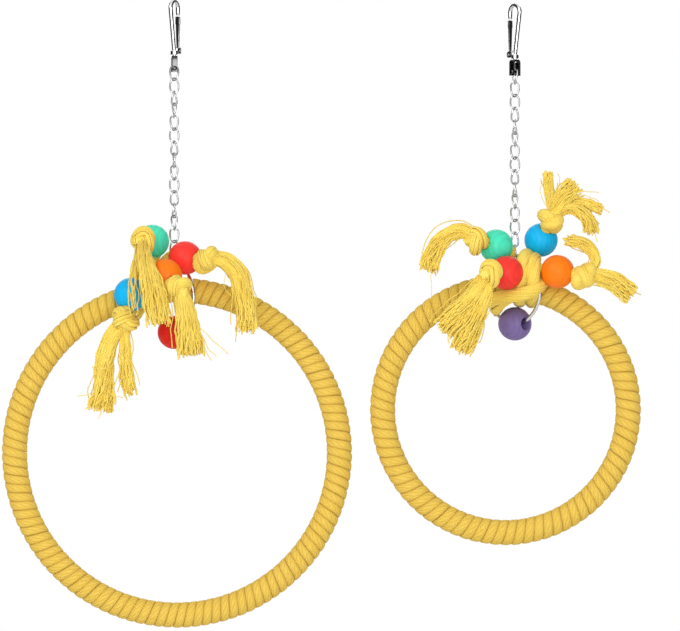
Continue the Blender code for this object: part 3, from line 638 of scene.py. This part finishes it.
def cord_finish(relief):
    """Brighter cotton of the tie cords, in which some yarns took more dye."""
    made = Finish("cord_cotton")
    deep, pale, stained = (0.76, 0.46, 0.014), (0.98, 0.85, 0.22), (0.82, 0.51, 0.018)
    stain_share = 0.3
    yarn = made.yarn(relief, plies=1.0, lay=1500.0, fibre_scale=1600.0)
    # Partly painted shade and highlight: deeper in the ply grooves and paler on the ply crests; the rest is
    # the yarn's own random fleck.
    tone_and_ply_shade = made.blend(yarn["fleck"] * 0.6 + yarn["height"] * 0.4, deep, pale)
    colour = made.blend(made.read("tint") * stain_share, tone_and_ply_shade, stained)
    made.set(base_color=colour, roughness=0.88, sheen_weight=0.12, sheen_roughness=0.5,
             specular_ior_level=0.2)
    made.bump(yarn["height"], distance=0.2 * MM, strength=0.5)
    return made.material


def metal_finish(name, scratches, colour, base, spread):
    """Metal with cloudy colour, whose marks spread its roughness up from a base."""
    made = Finish(name)
    cloud_scale, cloud_shade = 220.0, 0.86
    marks = made.group(scratches, base=base, spread=spread)
    cloud = made.noise(made.own_place(), cloud_scale, detail=2.0)
    made.set(base_color=made.blend(cloud, colour, darker(colour, cloud_shade)),
             roughness=marks["roughness"], metallic=1.0)
    made.bump(marks["height"], distance=0.02 * MM, strength=0.25)
    return made.material


def bead_finish(name, grain, dye):
    """Dyed wood, darker and duller along its grain."""
    made = Finish(name)
    grain_shade, smooth_roughness, grain_roughness = 0.8, 0.38, 0.18
    wood = made.group(grain, place=made.read("grain", "Vector"))
    made.set(base_color=made.blend(wood["grain"], dye, darker(dye, grain_shade)),
             roughness=wood["grain"] * grain_roughness + smooth_roughness, specular_ior_level=0.2)
    made.bump(wood["height"], distance=0.04 * MM, strength=0.25)
    return made.material


relief, scratches, grain = yarn_relief_group(), fine_scratch_group(), wood_grain_group()
ROPE_COTTON = rope_finish(relief)
CORD_COTTON = cord_finish(relief)
BRIGHT_PLATING = metal_finish("bright_plating", scratches, (0.80, 0.81, 0.82), base=0.07, spread=0.10)
SWIVEL_PLATING = metal_finish("swivel_plating", scratches, (0.08, 0.08, 0.08), base=0.10, spread=0.10)
LINK_PLATING = metal_finish("link_plating", scratches, (0.60, 0.60, 0.61), base=0.14, spread=0.14)
PLAIN_STEEL = metal_finish("plain_steel", scratches, (0.45, 0.45, 0.45), base=0.40, spread=0.20)
DYED_WOOD = {
    colour: bead_finish(f"dyed_wood_{colour}", grain, dye) for colour, dye in BEAD_DYES.items()}
STRAND_TREE, YARN_TREE = winding_tree(), yarn_bundle_tree()
LINK_TREE, ROD_TREE = link_tree(), rod_tree()


# Meshes

def add_object(name, data):
    obj = bpy.data.objects.new(name, data)
    bpy.context.scene.collection.objects.link(obj)
    return obj


def piece(name, data, body, node):
    """A finished piece that rides on a body and stands for a node."""
    obj = add_object(name, data)
    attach(obj, body)
    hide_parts(node)


def plain_mesh(obj):
    """What the object's modifiers make, as a mesh of its own; the object goes."""
    graph = bpy.context.evaluated_depsgraph_get()
    graph.update()
    data = bpy.data.meshes.new_from_object(obj.evaluated_get(graph))
    bpy.data.objects.remove(obj)
    return data


def grow(name, tree, source=None, **sizes):
    """Run a shape tree with these sizes and keep what it makes."""
    holder = add_object(name, source or bpy.data.meshes.new(name))
    modifier = holder.modifiers.new("shape", "NODES")
    modifier.node_group = tree
    for item in tree.interface.items_tree:
        if item.item_type == "SOCKET" and item.in_out == "INPUT" and item.name in sizes:
            modifier[item.identifier] = sizes[item.name]
    return plain_mesh(holder)


def path_mesh(points, half_widths):
    """A line of points that carries its thickness and how far along each point is."""
    data = bpy.data.meshes.new("path")
    data.from_pydata(points, [(i, i + 1) for i in range(len(points) - 1)], [])
    lengths = [0.0]
    for a, b in zip(points, points[1:]):
        lengths.append(lengths[-1] + (b - a).length)
    along = [length / lengths[-1] for length in lengths]
    for label, values in (("half_width", half_widths), ("along", along)):
        data.attributes.new(label, "FLOAT", "POINT").data.foreach_set("value", values)
    return data


def smooth_route(points, steps):
    """Points on a smooth curve through the given ones."""
    route = []
    last = len(points) - 1
    for index in range(last):
        start, end = points[index], points[index + 1]
        before = points[max(index - 1, 0)]
        after = points[min(index + 2, last)]
        lead = start + (end - before) / 6
        tail = end - (after - start) / 6
        route += interpolate_bezier(start, lead, tail, end, steps + 1)[:-1]
    return route + [points[-1]]


def closed_route(points, steps):
    """A smooth loop through the given points that ends where it starts."""
    return smooth_route(points[-2:] + points + points[:2], steps)[2 * steps:-steps]


def spread_widths(widths, steps):
    """Widths for every point of a smooth route through as many stations."""
    spread = []
    for a, b in zip(widths, widths[1:]):
        spread += [a + (b - a) * i / steps for i in range(steps)]
    return spread + [widths[-1]]


def arc_points(radius, start, end, steps):
    """Points on an arc about the local Y axis."""
    angles = [start + (end - start) * i / steps for i in range(steps + 1)]
    return [Vector((radius * math.cos(a), 0, radius * math.sin(a))) for a in angles]


def in_mm(pairs):
    """Pairs of numbers in millimetres, as metres."""
    return [(a * MM, b * MM) for a, b in pairs]


def write_closed(bm, data, merge_distance):
    """Merge doubles, turn the faces outwards and write the mesh."""
    bmesh.ops.remove_doubles(bm, verts=bm.verts, dist=merge_distance)
    bmesh.ops.recalc_face_normals(bm, faces=bm.faces)
    bm.to_mesh(data)
    bm.free()


def hard_mesh(bm, name, finish):
    """A mesh with smooth faces and crisp edges, as metal and wood have."""
    data = bpy.data.meshes.new(name)
    write_closed(bm, data, merge_distance=0.001 * MM)
    data.shade_smooth()
    data.set_sharp_from_angle(angle=CREASE_ANGLE)
    data.materials.append(finish)
    return data


def add_mesh(bm, data):
    bm.from_mesh(data)
    bpy.data.meshes.remove(data)


def sealed(data):
    """The same grown mesh, closed where its ends meet."""
    bm = bmesh.new()
    bm.from_mesh(data)
    write_closed(bm, data, merge_distance=0.0005 * MM)
    return data


def merged(parts):
    """Several grown meshes as one, with their attributes kept."""
    finish = parts[0].materials[0]
    bm = bmesh.new()
    for part in parts:
        add_mesh(bm, part)
    data = bpy.data.meshes.new("merged")
    write_closed(bm, data, merge_distance=0.0005 * MM)
    data.materials.append(finish)
    data.shade_smooth()
    return data


def turned(bm, profile, place, steps):
    """Turn a closed profile of (radius, height) about the local Z axis."""
    rings = []
    for k in range(steps):
        angle = math.tau * k / steps
        rings.append([
            bm.verts.new(place @ Vector((r * math.cos(angle), r * math.sin(angle), z)))
            for r, z in profile])
    for here, there in zip(rings, rings[1:] + rings[:1]):
        for i, (radius, _) in enumerate(profile):
            j = (i + 1) % len(profile)
            corners = [here[i], here[j], there[j], there[i]]
            if radius == 0:
                corners.pop()
            if profile[j][0] == 0:
                corners.remove(there[j])
            if len(corners) > 2:
                bm.faces.new(corners)


def soften(bm, edges, reach):
    """Round edges off a little."""
    bmesh.ops.bevel(bm, geom=edges, offset=reach, segments=2, profile=0.6, affect="EDGES")


def rounded_box(bm, low, high, place, edge):
    """A box between two corners in the place's own axes, with softened edges."""
    made = bmesh.ops.create_cube(bm, size=1.0)
    stretch = Matrix.Translation((low + high) / 2) @ Matrix.Diagonal((*(high - low), 1))
    bmesh.ops.transform(bm, verts=made["verts"], matrix=place @ stretch)
    soften(bm, list({e for v in made["verts"] for e in v.link_edges}), edge)


def plate(bm, outline, depth, edge):
    """A flat plate of that outline with softened rims."""
    before = set(bm.edges)
    sheet = bm.faces.new([bm.verts.new(p) for p in outline])
    grown = bmesh.ops.extrude_face_region(bm, geom=[sheet])["geom"]
    moved = [v for v in grown if isinstance(v, bmesh.types.BMVert)]
    bmesh.ops.translate(bm, verts=moved, vec=depth)
    across = depth.normalized()
    rims = [e for e in bm.edges if e not in before
            and abs((e.verts[1].co - e.verts[0].co).normalized().dot(across)) < 0.5]
    soften(bm, rims, edge)


# Rope ring

def make_winding(prefix, swing):
    """The rope ring's strands, laid side by side round the hoop."""
    radius, sidestep, turns = swing["ring_radius"], swing["sidestep"], swing["turns"]
    centre = swing["rope_top"] + Vector((sidestep, 0, -math.sqrt(radius ** 2 - sidestep ** 2)))
    for index in range(ROPE_STRANDS):
        name = f"{prefix}_rope_strand_{index + 1}"
        data = grow(
            name, STRAND_TREE, ring_radius=radius, lay_radius=ROPE_RADIUS - STRAND_HALF_HEIGHT,
            turns=turns, strands=ROPE_STRANDS, start=math.tau * index / ROPE_STRANDS,
            half_height=STRAND_HALF_HEIGHT, fill=1.04, squareness=3.3,
            points_along=turns * POINTS_PER_TURN + 1, points_round=19, wander=0.4 * MM,
            seed=2.0 + 5.0 * index, finish=ROPE_COTTON)
        data.transform(Matrix.Translation(centre))
        piece(name, sealed(data), f"{prefix}_ring", f"{prefix}_ring_wrap")


# Tie cords

TASSEL_LAY = dict(
    twist=22.0, ply_twist=26.0, depth=0.75, kink=4.6 * MM, fray=12 * MM, uneven=0.16, step=2.0 * MM,
    sides=5)
# How the yarns of each kind lie: sizes in metres, twists in radians to the metre.
YARNS = {
    "cord_skin": dict(
        yarn_radius=0.62 * MM, twist=70.0, hollow=1.0, kink=0.5 * MM, step=1.2 * MM, sides=6),
    "cord_core": dict(yarns=1, step=1.2 * MM, sides=12),
    "bunch": dict(yarn_radius=0.56 * MM, plies=3, **TASSEL_LAY),
    "sparse_bunch": dict(yarns=7, yarn_radius=0.42 * MM, **TASSEL_LAY),
    "bunch_middle": dict(
        yarns=3, yarn_radius=0.1 * MM, plies=3, ply_twist=26.0, reach=0.0, swell=0.34, depth=0.75,
        step=2.0 * MM, sides=10),
    "stray_ends": dict(
        yarns=9, yarn_radius=0.36 * MM, twist=10.0, depth=0.9, kink=8 * MM, kink_scale=60.0,
        fray=30 * MM, uneven=0.3, step=2.0 * MM, sides=4),
    "loose_yarn": dict(yarns=1, yarn_radius=0.27 * MM, kink=3 * MM, step=1.5 * MM, sides=5),
}
SKIN_YARNS_PER_MM = 7
SKIN_DEPTH = 0.75 * MM
TASSEL_ROOT, TASSEL_NECK, LOOSE_YARN_ROOM = 4.2 * MM, 5.0 * MM, 0.5 * MM
RUN_STEPS, LOOP_STEPS, TASSEL_STEPS = 6, 5, 5
WRAP_SEED, KNOT_SEED, TASSEL_SEED, STRAY_SEED = 71, 11, 29, 53


def lay_yarns(kind, points, half_widths, seed, **sizes):
    """Yarns of one kind along a path."""
    path = path_mesh(points, half_widths)
    return grow(kind, YARN_TREE, path, seed=seed, finish=CORD_COTTON, **YARNS[kind], **sizes)


def laid_cord(points, radius, seed):
    """A thick cord: fine yarns laid round a solid middle."""
    half_widths = [radius] * len(points)
    skin_yarns = int(radius / MM * SKIN_YARNS_PER_MM)
    return [
        lay_yarns("cord_skin", points, half_widths, seed, yarns=skin_yarns),
        lay_yarns("cord_core", points, half_widths, seed, yarn_radius=radius - SKIN_DEPTH)]


def from_rope_top(swing, points):
    """Places of points given in millimetres from the rope's middle under the chain."""
    return [swing["rope_top"] + Vector(p[:3]) * MM for p in points]


def cord_end(swing, end):
    """The middle of an end's bead, and the way the cord leaves it."""
    return from_rope_top(swing, [end["bead"]])[0], Vector(end["way"]).normalized()


def knot_path(bead, way):
    """The cord leaves the bead, laps over its own line and comes out at the knot's far end."""
    laps, first_lap, waves, steps = 1.8, -1.2, 2.5, 44
    middle, wave_reach, far_end = 17.6 * MM, 3.9 * MM, 24.5 * MM
    radius, swell = 4.5 * MM, 1.8 * MM
    gather_rate, gathered = 5, 0.25
    front = Vector((0.2, -1.0, 0.4))
    side = (front - way * front.dot(way)).normalized()
    other = way.cross(side)
    points = [bead + way * CORD_IN_BEAD, bead + way * (CORD_IN_BEAD + 2 * MM)]
    for t in (k / steps for k in range(steps + 1)):
        lap, wave = math.tau * laps * t + first_lap, math.tau * waves * t - math.pi / 2
        reach = radius + swell * math.cos(wave)
        reach *= min(1.0, gather_rate * t + gathered, gather_rate * (1 - t) + gathered)
        points.append(bead + way * (middle + wave_reach * math.sin(wave))
                      + side * (reach * math.cos(lap)) + other * (reach * math.sin(lap)))
    return points + [bead + way * far_end]


def yarn_count(half_width):
    """More yarns in a wider bunch, in sets of three plies."""
    fewest, more, usual, growth = 9, 30, 7 * MM, 1.5
    return 3 * int(fewest + more * (half_width / usual) ** growth)


def bunch_parts(root, places, widths, seed, stray_seed):
    """One full bunch of a tassel: its yarns, the fill in its middle, and ends that stray."""
    fill_share, fill_taper, stray_share = 0.8, 6, 1.15
    line = smooth_route([root] + places, TASSEL_STEPS)
    spread = spread_widths(widths, TASSEL_STEPS)
    short = int(fill_share * len(line))
    fill = [w * min(1.0, (short - i) / fill_taper) for i, w in enumerate(spread[:short])]
    return [
        lay_yarns("bunch", line, spread, seed, yarns=yarn_count(max(widths))),
        lay_yarns("bunch_middle", line[:short], fill, seed),
        lay_yarns("stray_ends", line, [w * stray_share for w in spread], stray_seed)]


def tassel_parts(swing, end, hairs, seed, number):
    """The frayed cord past a knot: its bunches, and single yarns that stand clear of them."""
    bead, way = cord_end(swing, end)
    root = bead + way * KNOT_REACH
    parts = []
    for rank, stations in enumerate(end["bunches"]):
        places = from_rope_top(swing, stations)
        widths = [TASSEL_ROOT] + [station[3] * MM for station in stations]
        widths[1] = min(widths[1], TASSEL_NECK)
        own_seed = seed + TASSEL_SEED * number + rank
        if rank in end.get("sparse", ()):
            line = smooth_route([root] + places, TASSEL_STEPS)
            spread = spread_widths(widths, TASSEL_STEPS)
            parts.append(lay_yarns("sparse_bunch", line, spread, own_seed))
        else:
            parts += bunch_parts(root, places, widths, own_seed, seed + STRAY_SEED * number + rank)
    for hair in hairs:
        line = smooth_route(from_rope_top(swing, hair), TASSEL_STEPS)
        parts.append(lay_yarns("loose_yarn", line, [LOOSE_YARN_ROOM] * len(line), seed))
    return parts


def make_tie(prefix, name, swing):
    """One tie cord: the run between its beads, its lacing, and a knot and a tassel at each end."""
    *colours, route = TIES[prefix][name]
    node = f"{prefix}_{name}"
    seed = sum(ord(letter) for letter in prefix + name)

    def cotton(label, parts):
        piece(label, merged(parts), f"{prefix}_ring", node)

    ends = [cord_end(swing, ENDS[prefix][colour]) for colour in colours]
    start, stop = (bead + way * CORD_IN_BEAD for bead, way in ends)
    near, far = (bead - way * BEAD_MOUTH for bead, way in ends)
    run = smooth_route([near, *from_rope_top(swing, route), far], RUN_STEPS)
    cotton(f"{node}_run", laid_cord([start, *run, stop], CORD_RADIUS, seed))
    for number, points in enumerate(WRAPS[prefix].get(name, [])):
        loop = closed_route(from_rope_top(swing, points), LOOP_STEPS)
        cotton(f"{node}_wrap_{number + 1}", laid_cord(loop, WRAP_RADIUS, seed + WRAP_SEED + number))
    for number, colour in enumerate(colours):
        knot = knot_path(*ends[number])
        cotton(f"{prefix}_{colour}_knot", laid_cord(knot, KNOT_CORD_RADIUS, seed + KNOT_SEED * number))
        hairs = LOOSE_YARNS.get((prefix, colour), [])
        cotton(f"{prefix}_{colour}_tassel",
               tassel_parts(swing, ENDS[prefix][colour], hairs, seed, number))


# Beads

def bead_mesh(name, middle, way, finish):
    """A turned ball with a wide hole and softly broken hole edges."""
    hole, ball_steps, turn_steps, grain_lean = BEAD_HOLE_RADIUS, 26, 56, 0.6
    rim_room, mouth_drop, corner_room, corner_rise = 0.7 * MM, 0.4 * MM, 0.15 * MM, 0.22 * MM
    rim = math.asin((hole + rim_room) / BEAD_RADIUS)
    angles = [rim + (math.pi - 2 * rim) * i / ball_steps for i in range(ball_steps + 1)]
    profile = [(BEAD_RADIUS * math.sin(a), BEAD_RADIUS * math.cos(a)) for a in angles]
    mouth = BEAD_RADIUS * math.cos(rim) - mouth_drop
    corner, corner_height = hole + corner_room, mouth + corner_rise
    profile += [(corner, -corner_height), (hole, -mouth), (hole, -mouth / 3), (hole, mouth / 3),
                (hole, mouth), (corner, corner_height)]
    place = Matrix.Translation(middle) @ way.to_track_quat("Z", "Y").to_matrix().to_4x4()
    bm = bmesh.new()
    turned(bm, profile, place, turn_steps)
    data = hard_mesh(bm, name, finish)
    to_grain = Matrix.Rotation(grain_lean, 4, "X") @ place.inverted()
    grain_places = data.attributes.new("grain", "FLOAT_VECTOR", "POINT").data
    for vert, spot in zip(data.vertices, grain_places):
        spot.vector = to_grain @ vert.co
    return data


def make_bead(name, middle, way, dye):
    """One bead as a piece of its own colour."""
    data = bead_mesh(name, middle, way, DYED_WOOD[dye])
    piece(f"{name}_turned", data, name, name)


def make_beads(prefix, swing):
    """Four beads on the tie cords, and the loose one on the book ring."""
    for colour, end in ENDS[prefix].items():
        make_bead(f"{prefix}_bead_{colour}", *cord_end(swing, end), colour)
    low, high = (Vector(corner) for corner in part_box(f"{prefix}_bead_lower"))
    level = Matrix.Rotation(swing["book_turn"], 3, "Z") @ Vector((1, 0, 0))
    make_bead(f"{prefix}_bead_lower", (low + high) / 2, level, f"{prefix}_lower")


# Chain and book ring

def make_chain(prefix, swing):
    """Twisted links, each turned on from the one above; the first hangs over the stirrup's rivet."""
    half, pitch, top_above_rivet = 4.85 * MM, 8.2 * MM, 1.9 * MM
    first = RIVET_HEIGHT + top_above_rivet - half
    for index in range(swing["links"]):
        name = f"{prefix}_chain_link_{index + 1:02d}"
        data = grow(
            name, LINK_TREE, half_length=half, twist=LINK_TWIST,
            turn=swing["link_turn"] + index * swing["link_advance"],
            middle=swing["hook"] + Vector((0, 0, first - index * pitch)), finish=LINK_PLATING)
        piece(f"{name}_wire", sealed(data), f"{prefix}_link_{index + 1:02d}", name)


def make_book_ring(prefix, swing):
    """The two wire halves, their hinge eyes and the pin; profiles are in millimetres."""
    radius, wire, tip_wire = 22.5 * MM, 1.3 * MM, 1.04 * MM
    clasp_at, hinge_at = math.radians(43), math.radians(223)
    clasp_gap, eye_gap = 0.3 * MM / radius, 2.1 * MM / radius
    eye_near, eye_far, eye_radius, eye_edge = 0.15, 1.25, 2.5, 0.2
    pin = [(0, -1.3), (0.8, -1.3), (0.8, 1.45), (1.5, 1.45), (1.45, 1.8), (1.1, 2.0), (0, 2.05)]
    place = Matrix.Translation(swing["rope_top"] + Vector((0, 0, swing["book_middle"])))
    place = place @ Matrix.Rotation(swing["book_turn"], 4, "Z")
    hinge = radius * Vector((math.cos(hinge_at), 0, math.sin(hinge_at)))
    flat = place @ Matrix.Translation(hinge) @ Matrix.Rotation(math.pi / 2, 4, "X")

    def add_half(start, end, tip, bore, side):
        bm = bmesh.new()
        line = [place @ p for p in arc_points(radius, start, end, steps=56)]
        widths = [wire] * len(line)
        widths[tip] = tip_wire
        add_mesh(bm, grow("half_ring", ROD_TREE, path_mesh(line, widths), finish=BRIGHT_PLATING))
        eye = [(bore, eye_near), (eye_radius - eye_edge, eye_near), (eye_radius, eye_near + eye_edge),
               (eye_radius, eye_far - eye_edge), (eye_radius - eye_edge, eye_far), (bore, eye_far)]
        turned(bm, in_mm([(r, side * z) for r, z in eye]), flat, steps=24)
        return bm

    upper = add_half(clasp_at + clasp_gap, hinge_at - eye_gap, tip=0, bore=0.8, side=-1)
    turned(upper, in_mm(pin), flat, steps=20)
    lower = add_half(hinge_at + eye_gap, clasp_at + math.tau - clasp_gap, tip=-1, bore=1.1, side=1)
    for bm, name, body in ((upper, f"{prefix}_book_ring_upper", f"{prefix}_ring"),
                           (lower, f"{prefix}_book_ring_lower", f"{prefix}_book_ring_lower")):
        piece(f"{name}_wire", hard_mesh(bm, name, BRIGHT_PLATING), body, name)


# Hook and swivel, with profiles and outlines in millimetres

HOOK_BEND = 4.8 * MM
HOOK_WIRE = 1.5 * MM
GATE_PIVOT_MM = -31.0


def hook_place(swing):
    """Where the hook stands, turned to show its mouth as it hangs."""
    return Matrix.Translation(swing["hook"]) @ Matrix.Rotation(swing["hook_turn"], 4, "Z")


def hook_line():
    """Points and half widths of the bent rod: a blunt nose, the round bend and a tapered leg."""
    bend_middle, base = Vector((0, 0, -3.3 * MM)), Vector((0, 0, -32.5 * MM))
    steps, taper = 6, 0.1
    nose = [Vector((HOOK_BEND, 0, height * MM)) for height in (-8.0, -7.6, -5.5)]
    arc = [bend_middle + p for p in arc_points(HOOK_BEND, 0, math.pi, steps=26)]
    leg = smooth_route([arc[-2], arc[-1], arc[-1].lerp(base, 0.5), base], steps)[steps:]
    shares = [0.65, 0.85, 1.0] + [1.0] * (len(arc) - 1)
    shares += [1 - taper * i / (len(leg) - 1) for i in range(len(leg))]
    return nose + arc[:-1] + leg, [HOOK_WIRE * share for share in shares]


def add_gate_ears(bm, place):
    """Two ears beside the gate's foot, with a rivet head on each."""
    near, far, round_x, round_z = 1.35, 2.25, 1.5, 2.1
    bends = [math.pi * (i / 10 - 0.5) for i in range(11)]
    ear = [(0.6, -33.1), (3.6, -33.1)]
    ear += [(4.3 + round_x * math.cos(a), GATE_PIVOT_MM + round_z * math.sin(a)) for a in bends]
    ear += [(3.4, -28.9), (0.6, -29.6)]
    depth = place.to_3x3() @ Vector((0, (far - near) * MM, 0))
    for y in (near, -far):
        plate(bm, [place @ (Vector((x, y, z)) * MM) for x, z in ear], depth, edge=0.22 * MM)
    head = in_mm([(0, -0.2), (0.95, -0.2), (0.9, 0.2), (0.5, 0.4), (0, 0.45)])
    for side in (-1, 1):
        spot = place @ Matrix.Translation(Vector((4.4, side * 2.2, GATE_PIVOT_MM)) * MM)
        turned(bm, head, spot @ Matrix.Rotation(-side * math.pi / 2, 4, "X"), steps=16)


def make_hook_body(prefix, swing):
    """Bent rod with its swivel post, its foot and the gate's two ears."""
    place = hook_place(swing)
    bm = bmesh.new()
    line, widths = hook_line()
    path = path_mesh([place @ p for p in line], widths)
    add_mesh(bm, grow("hook_rod", ROD_TREE, path, sides=24, finish=BRIGHT_PLATING))
    post = [(0, -31.0), (2.3, -31.0), (2.6, -31.3), (2.6, -33.7), (2.3, -34.0), (1.1, -34.0),
            (1.1, -35.6), (1.6, -35.6), (1.8, -35.8), (1.6, -36.4), (0, -36.5)]
    turned(bm, in_mm(post), place, steps=28)
    add_gate_ears(bm, place)
    foot_low, foot_highs = Vector((0, -1.4, -33.2)), ((1.4, 1.4, -29.0), (5.0, 1.4, -31.4))
    for high in foot_highs:
        rounded_box(bm, foot_low * MM, Vector(high) * MM, place, edge=0.2 * MM)
    piece(f"{prefix}_hook_rod", hard_mesh(bm, "hook", BRIGHT_PLATING), "hooks",
          f"{prefix}_hook_body")


def make_hook_gate(prefix, swing):
    """The sprung strip that closes the hook's mouth, with heights from its pivot."""
    stand = hook_place(swing) @ Matrix.Translation((HOOK_BEND, 0, GATE_PIVOT_MM * MM))
    thickness = 0.9
    half = [(1.3, 22.7), (1.75, 22.2), (1.8, 18.2), (1.45, 17.0), (1.2, 9.0), (0.9, 3.0), (0.9, 0.1),
            (0.6, -0.2)]
    outline = half + [(-y, z) for y, z in reversed(half)]
    bm = bmesh.new()
    plate(bm, [stand @ (Vector((thickness / 2, y, z)) * MM) for y, z in outline],
          stand.to_3x3() @ Vector((-thickness * MM, 0, 0)), edge=0.18 * MM)
    piece(f"{prefix}_hook_gate_strip", hard_mesh(bm, "gate", BRIGHT_PLATING), f"{prefix}_gate",
          f"{prefix}_hook_gate")


def strap_sheet():
    """The middle sheet of the stirrup's strap, bent over at the top, about its own origin."""
    leg, bend, shoulder, foot, half_depth = 3.0, 1.8, -2.6, -11.0, 2.0
    quarter = [math.pi / 2 * i / 6 for i in range(7)]
    line = [(-leg, foot)]
    line += [(-leg + bend * (1 - math.cos(a)), shoulder + bend * math.sin(a)) for a in quarter]
    line += [(-x, z) for x, z in reversed(line)]
    bm = bmesh.new()
    back, front = (
        [bm.verts.new(Vector((x, y, z)) * MM) for x, z in line] for y in (-half_depth, half_depth))
    for i in range(len(line) - 1):
        bm.faces.new((back[i], back[i + 1], front[i + 1], front[i]))
    bmesh.ops.recalc_face_normals(bm, faces=bm.faces)
    data = bpy.data.meshes.new("strap")
    bm.to_mesh(data)
    bm.free()
    return data


def strap_mesh():
    """The strap with its thickness, the hole for the hook's post and soft edges."""
    hole_radius, drill_end = 1.4, 5
    drill_profile = [(0, -drill_end), (hole_radius, -drill_end), (hole_radius, drill_end), (0, drill_end)]
    bm = bmesh.new()
    turned(bm, in_mm(drill_profile), Matrix.Identity(4), steps=28)
    drill = add_object("drill", hard_mesh(bm, "drill", SWIVEL_PLATING))
    strap = add_object("strap", strap_sheet())
    wall = strap.modifiers.new("wall", "SOLIDIFY")
    wall.thickness, wall.offset, wall.use_even_offset = 1.0 * MM, 0.0, True
    hole = strap.modifiers.new("hole", "BOOLEAN")
    hole.operation, hole.object = "DIFFERENCE", drill
    soft = strap.modifiers.new("edge", "BEVEL")
    soft.width, soft.segments, soft.limit_method = 0.32 * MM, 3, "ANGLE"
    shape = plain_mesh(strap)
    bpy.data.objects.remove(drill)
    return shape


def make_stirrup(prefix, swing):
    """Bent strap on the hook's post with its cross rivet, square to the first link's upper end."""
    turn = swing["link_turn"] + LINK_TWIST / 2 + math.pi / 2
    place = Matrix.Translation(swing["hook"] + Vector((0, 0, STIRRUP_TOP)))
    place = place @ Matrix.Rotation(turn, 4, "Z")
    shape = strap_mesh()
    shape.transform(place)
    bm = bmesh.new()
    add_mesh(bm, shape)
    across = place @ Matrix.Translation((0, 0, RIVET_HEIGHT - STIRRUP_TOP))
    across = across @ Matrix.Rotation(math.pi / 2, 4, "Y")
    half_rivet = [(0, 4.35), (1.1, 4.3), (1.6, 4.0), (1.7, 3.55), (1.0, 3.5)]
    rivet = [(r, -z) for r, z in half_rivet] + half_rivet[::-1]
    turned(bm, in_mm(rivet), across, steps=24)
    piece(f"{prefix}_stirrup_strap", hard_mesh(bm, "stirrup", SWIVEL_PLATING), f"{prefix}_stirrup",
          f"{prefix}_swivel_stirrup")


# Building

for prefix, swing in SWINGS.items():
    make_winding(prefix, swing)
    for name in TIES[prefix]:
        make_tie(prefix, name, swing)
    make_beads(prefix, swing)
    make_chain(prefix, swing)
    make_book_ring(prefix, swing)
    make_hook_body(prefix, swing)
    make_hook_gate(prefix, swing)
    make_stirrup(prefix, swing)
    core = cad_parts[f"{prefix}_ring_core"]
    core.data.materials.clear()
    core.data.materials.append(PLAIN_STEEL)


# Stage, light and camera, in metres

WHITE = (1.0, 1.0, 1.0, 1.0)
MIDDLE = Vector((0.109, 0, -0.24))
ROOM_GLOW, FLOOR_GLOW = 0.60, 0.42
FLOOR_RADIUS, FLOOR_MIDDLE = 1.4, Vector((0.109, 0.1, -0.60))
LAMPS = {
    "key_light": dict(where=(-0.75, -1.5, 0.75), size=1.2, power=13.0),
    "fill_light": dict(where=(0.45, -2.4, -0.1), size=1.0, power=22.0),
    "back_light": dict(where=(0.2, 2.2, 0.3), size=1.6, power=16.0),
}
CAMERA_PLACE = Vector((0.1089, -3.0, -0.2051))
PICTURE_WIDTH = 0.4468


def make_world():
    """White behind the object, an even glow on it, and dark sides for the plating to reflect."""
    world = bpy.data.worlds.new("studio")
    bpy.context.scene.world = world
    world.use_nodes = True
    world.node_tree.nodes.clear()
    book = NodeBook(world.node_tree)
    camera = book.add("ShaderNodeLightPath", (), "Is Camera Ray")
    glossy, through = camera.beside("Is Glossy Ray"), camera.beside("Is Transmission Ray")
    way = book.add("ShaderNodeTexCoord", (), "Generated")
    dark_side = book.add("ShaderNodeMapRange", {
        "Value": book.part(way, 0).absolute(), "From Min": 0.55, "From Max": 0.8, "To Min": 1.0,
        "To Max": 0.02})
    seen = camera.op("MAXIMUM", through)
    room = glossy * dark_side + (1.0 - glossy) * ROOM_GLOW
    light = book.add("ShaderNodeBackground", {
        "Color": WHITE, "Strength": seen + (1.0 - seen) * room})
    feed(book.tree, book.tree.nodes.new("ShaderNodeOutputWorld").inputs["Surface"], light)


def make_floor():
    """A pale floor under the hanging swings, which the camera sees as nearly white."""
    bm = bmesh.new()
    bmesh.ops.create_circle(bm, cap_ends=True, segments=96, radius=FLOOR_RADIUS)
    bm.transform(Matrix.Translation(FLOOR_MIDDLE))
    floor = Finish("pale_floor")
    mottle = floor.noise(floor.own_place(), 6.0, detail=2.0)
    seen = floor.add("ShaderNodeLightPath", (), "Is Camera Ray")
    floor.set(base_color=floor.blend(mottle, (0.84, 0.84, 0.84), (0.88, 0.88, 0.88)), roughness=0.8,
              emission_color=WHITE, emission_strength=seen * FLOOR_GLOW)
    add_object("floor", hard_mesh(bm, "floor", floor.material))


def make_lamp(name, where, size, power):
    """A square lamp that faces the middle of the object."""
    lamp = bpy.data.lights.new(name, "AREA")
    lamp.size, lamp.energy = size, power
    obj = add_object(name, lamp)
    obj.location = where
    obj.rotation_euler = (MIDDLE - Vector(where)).to_track_quat("-Z", "Y").to_euler()


def make_camera():
    """Looks level along +Y, with the picture's width at the object's own plane."""
    camera = bpy.data.cameras.new("photo_camera")
    camera.sensor_width = 36.0
    camera.lens = camera.sensor_width * -CAMERA_PLACE.y / PICTURE_WIDTH
    obj = add_object("photo_camera", camera)
    obj.location = CAMERA_PLACE
    obj.rotation_euler = (math.pi / 2, 0, 0)
    bpy.context.scene.camera = obj


make_world()
make_floor()
for name, lamp in LAMPS.items():
    make_lamp(name, **lamp)
make_camera()
bpy.context.scene.view_settings.view_transform = "Standard"
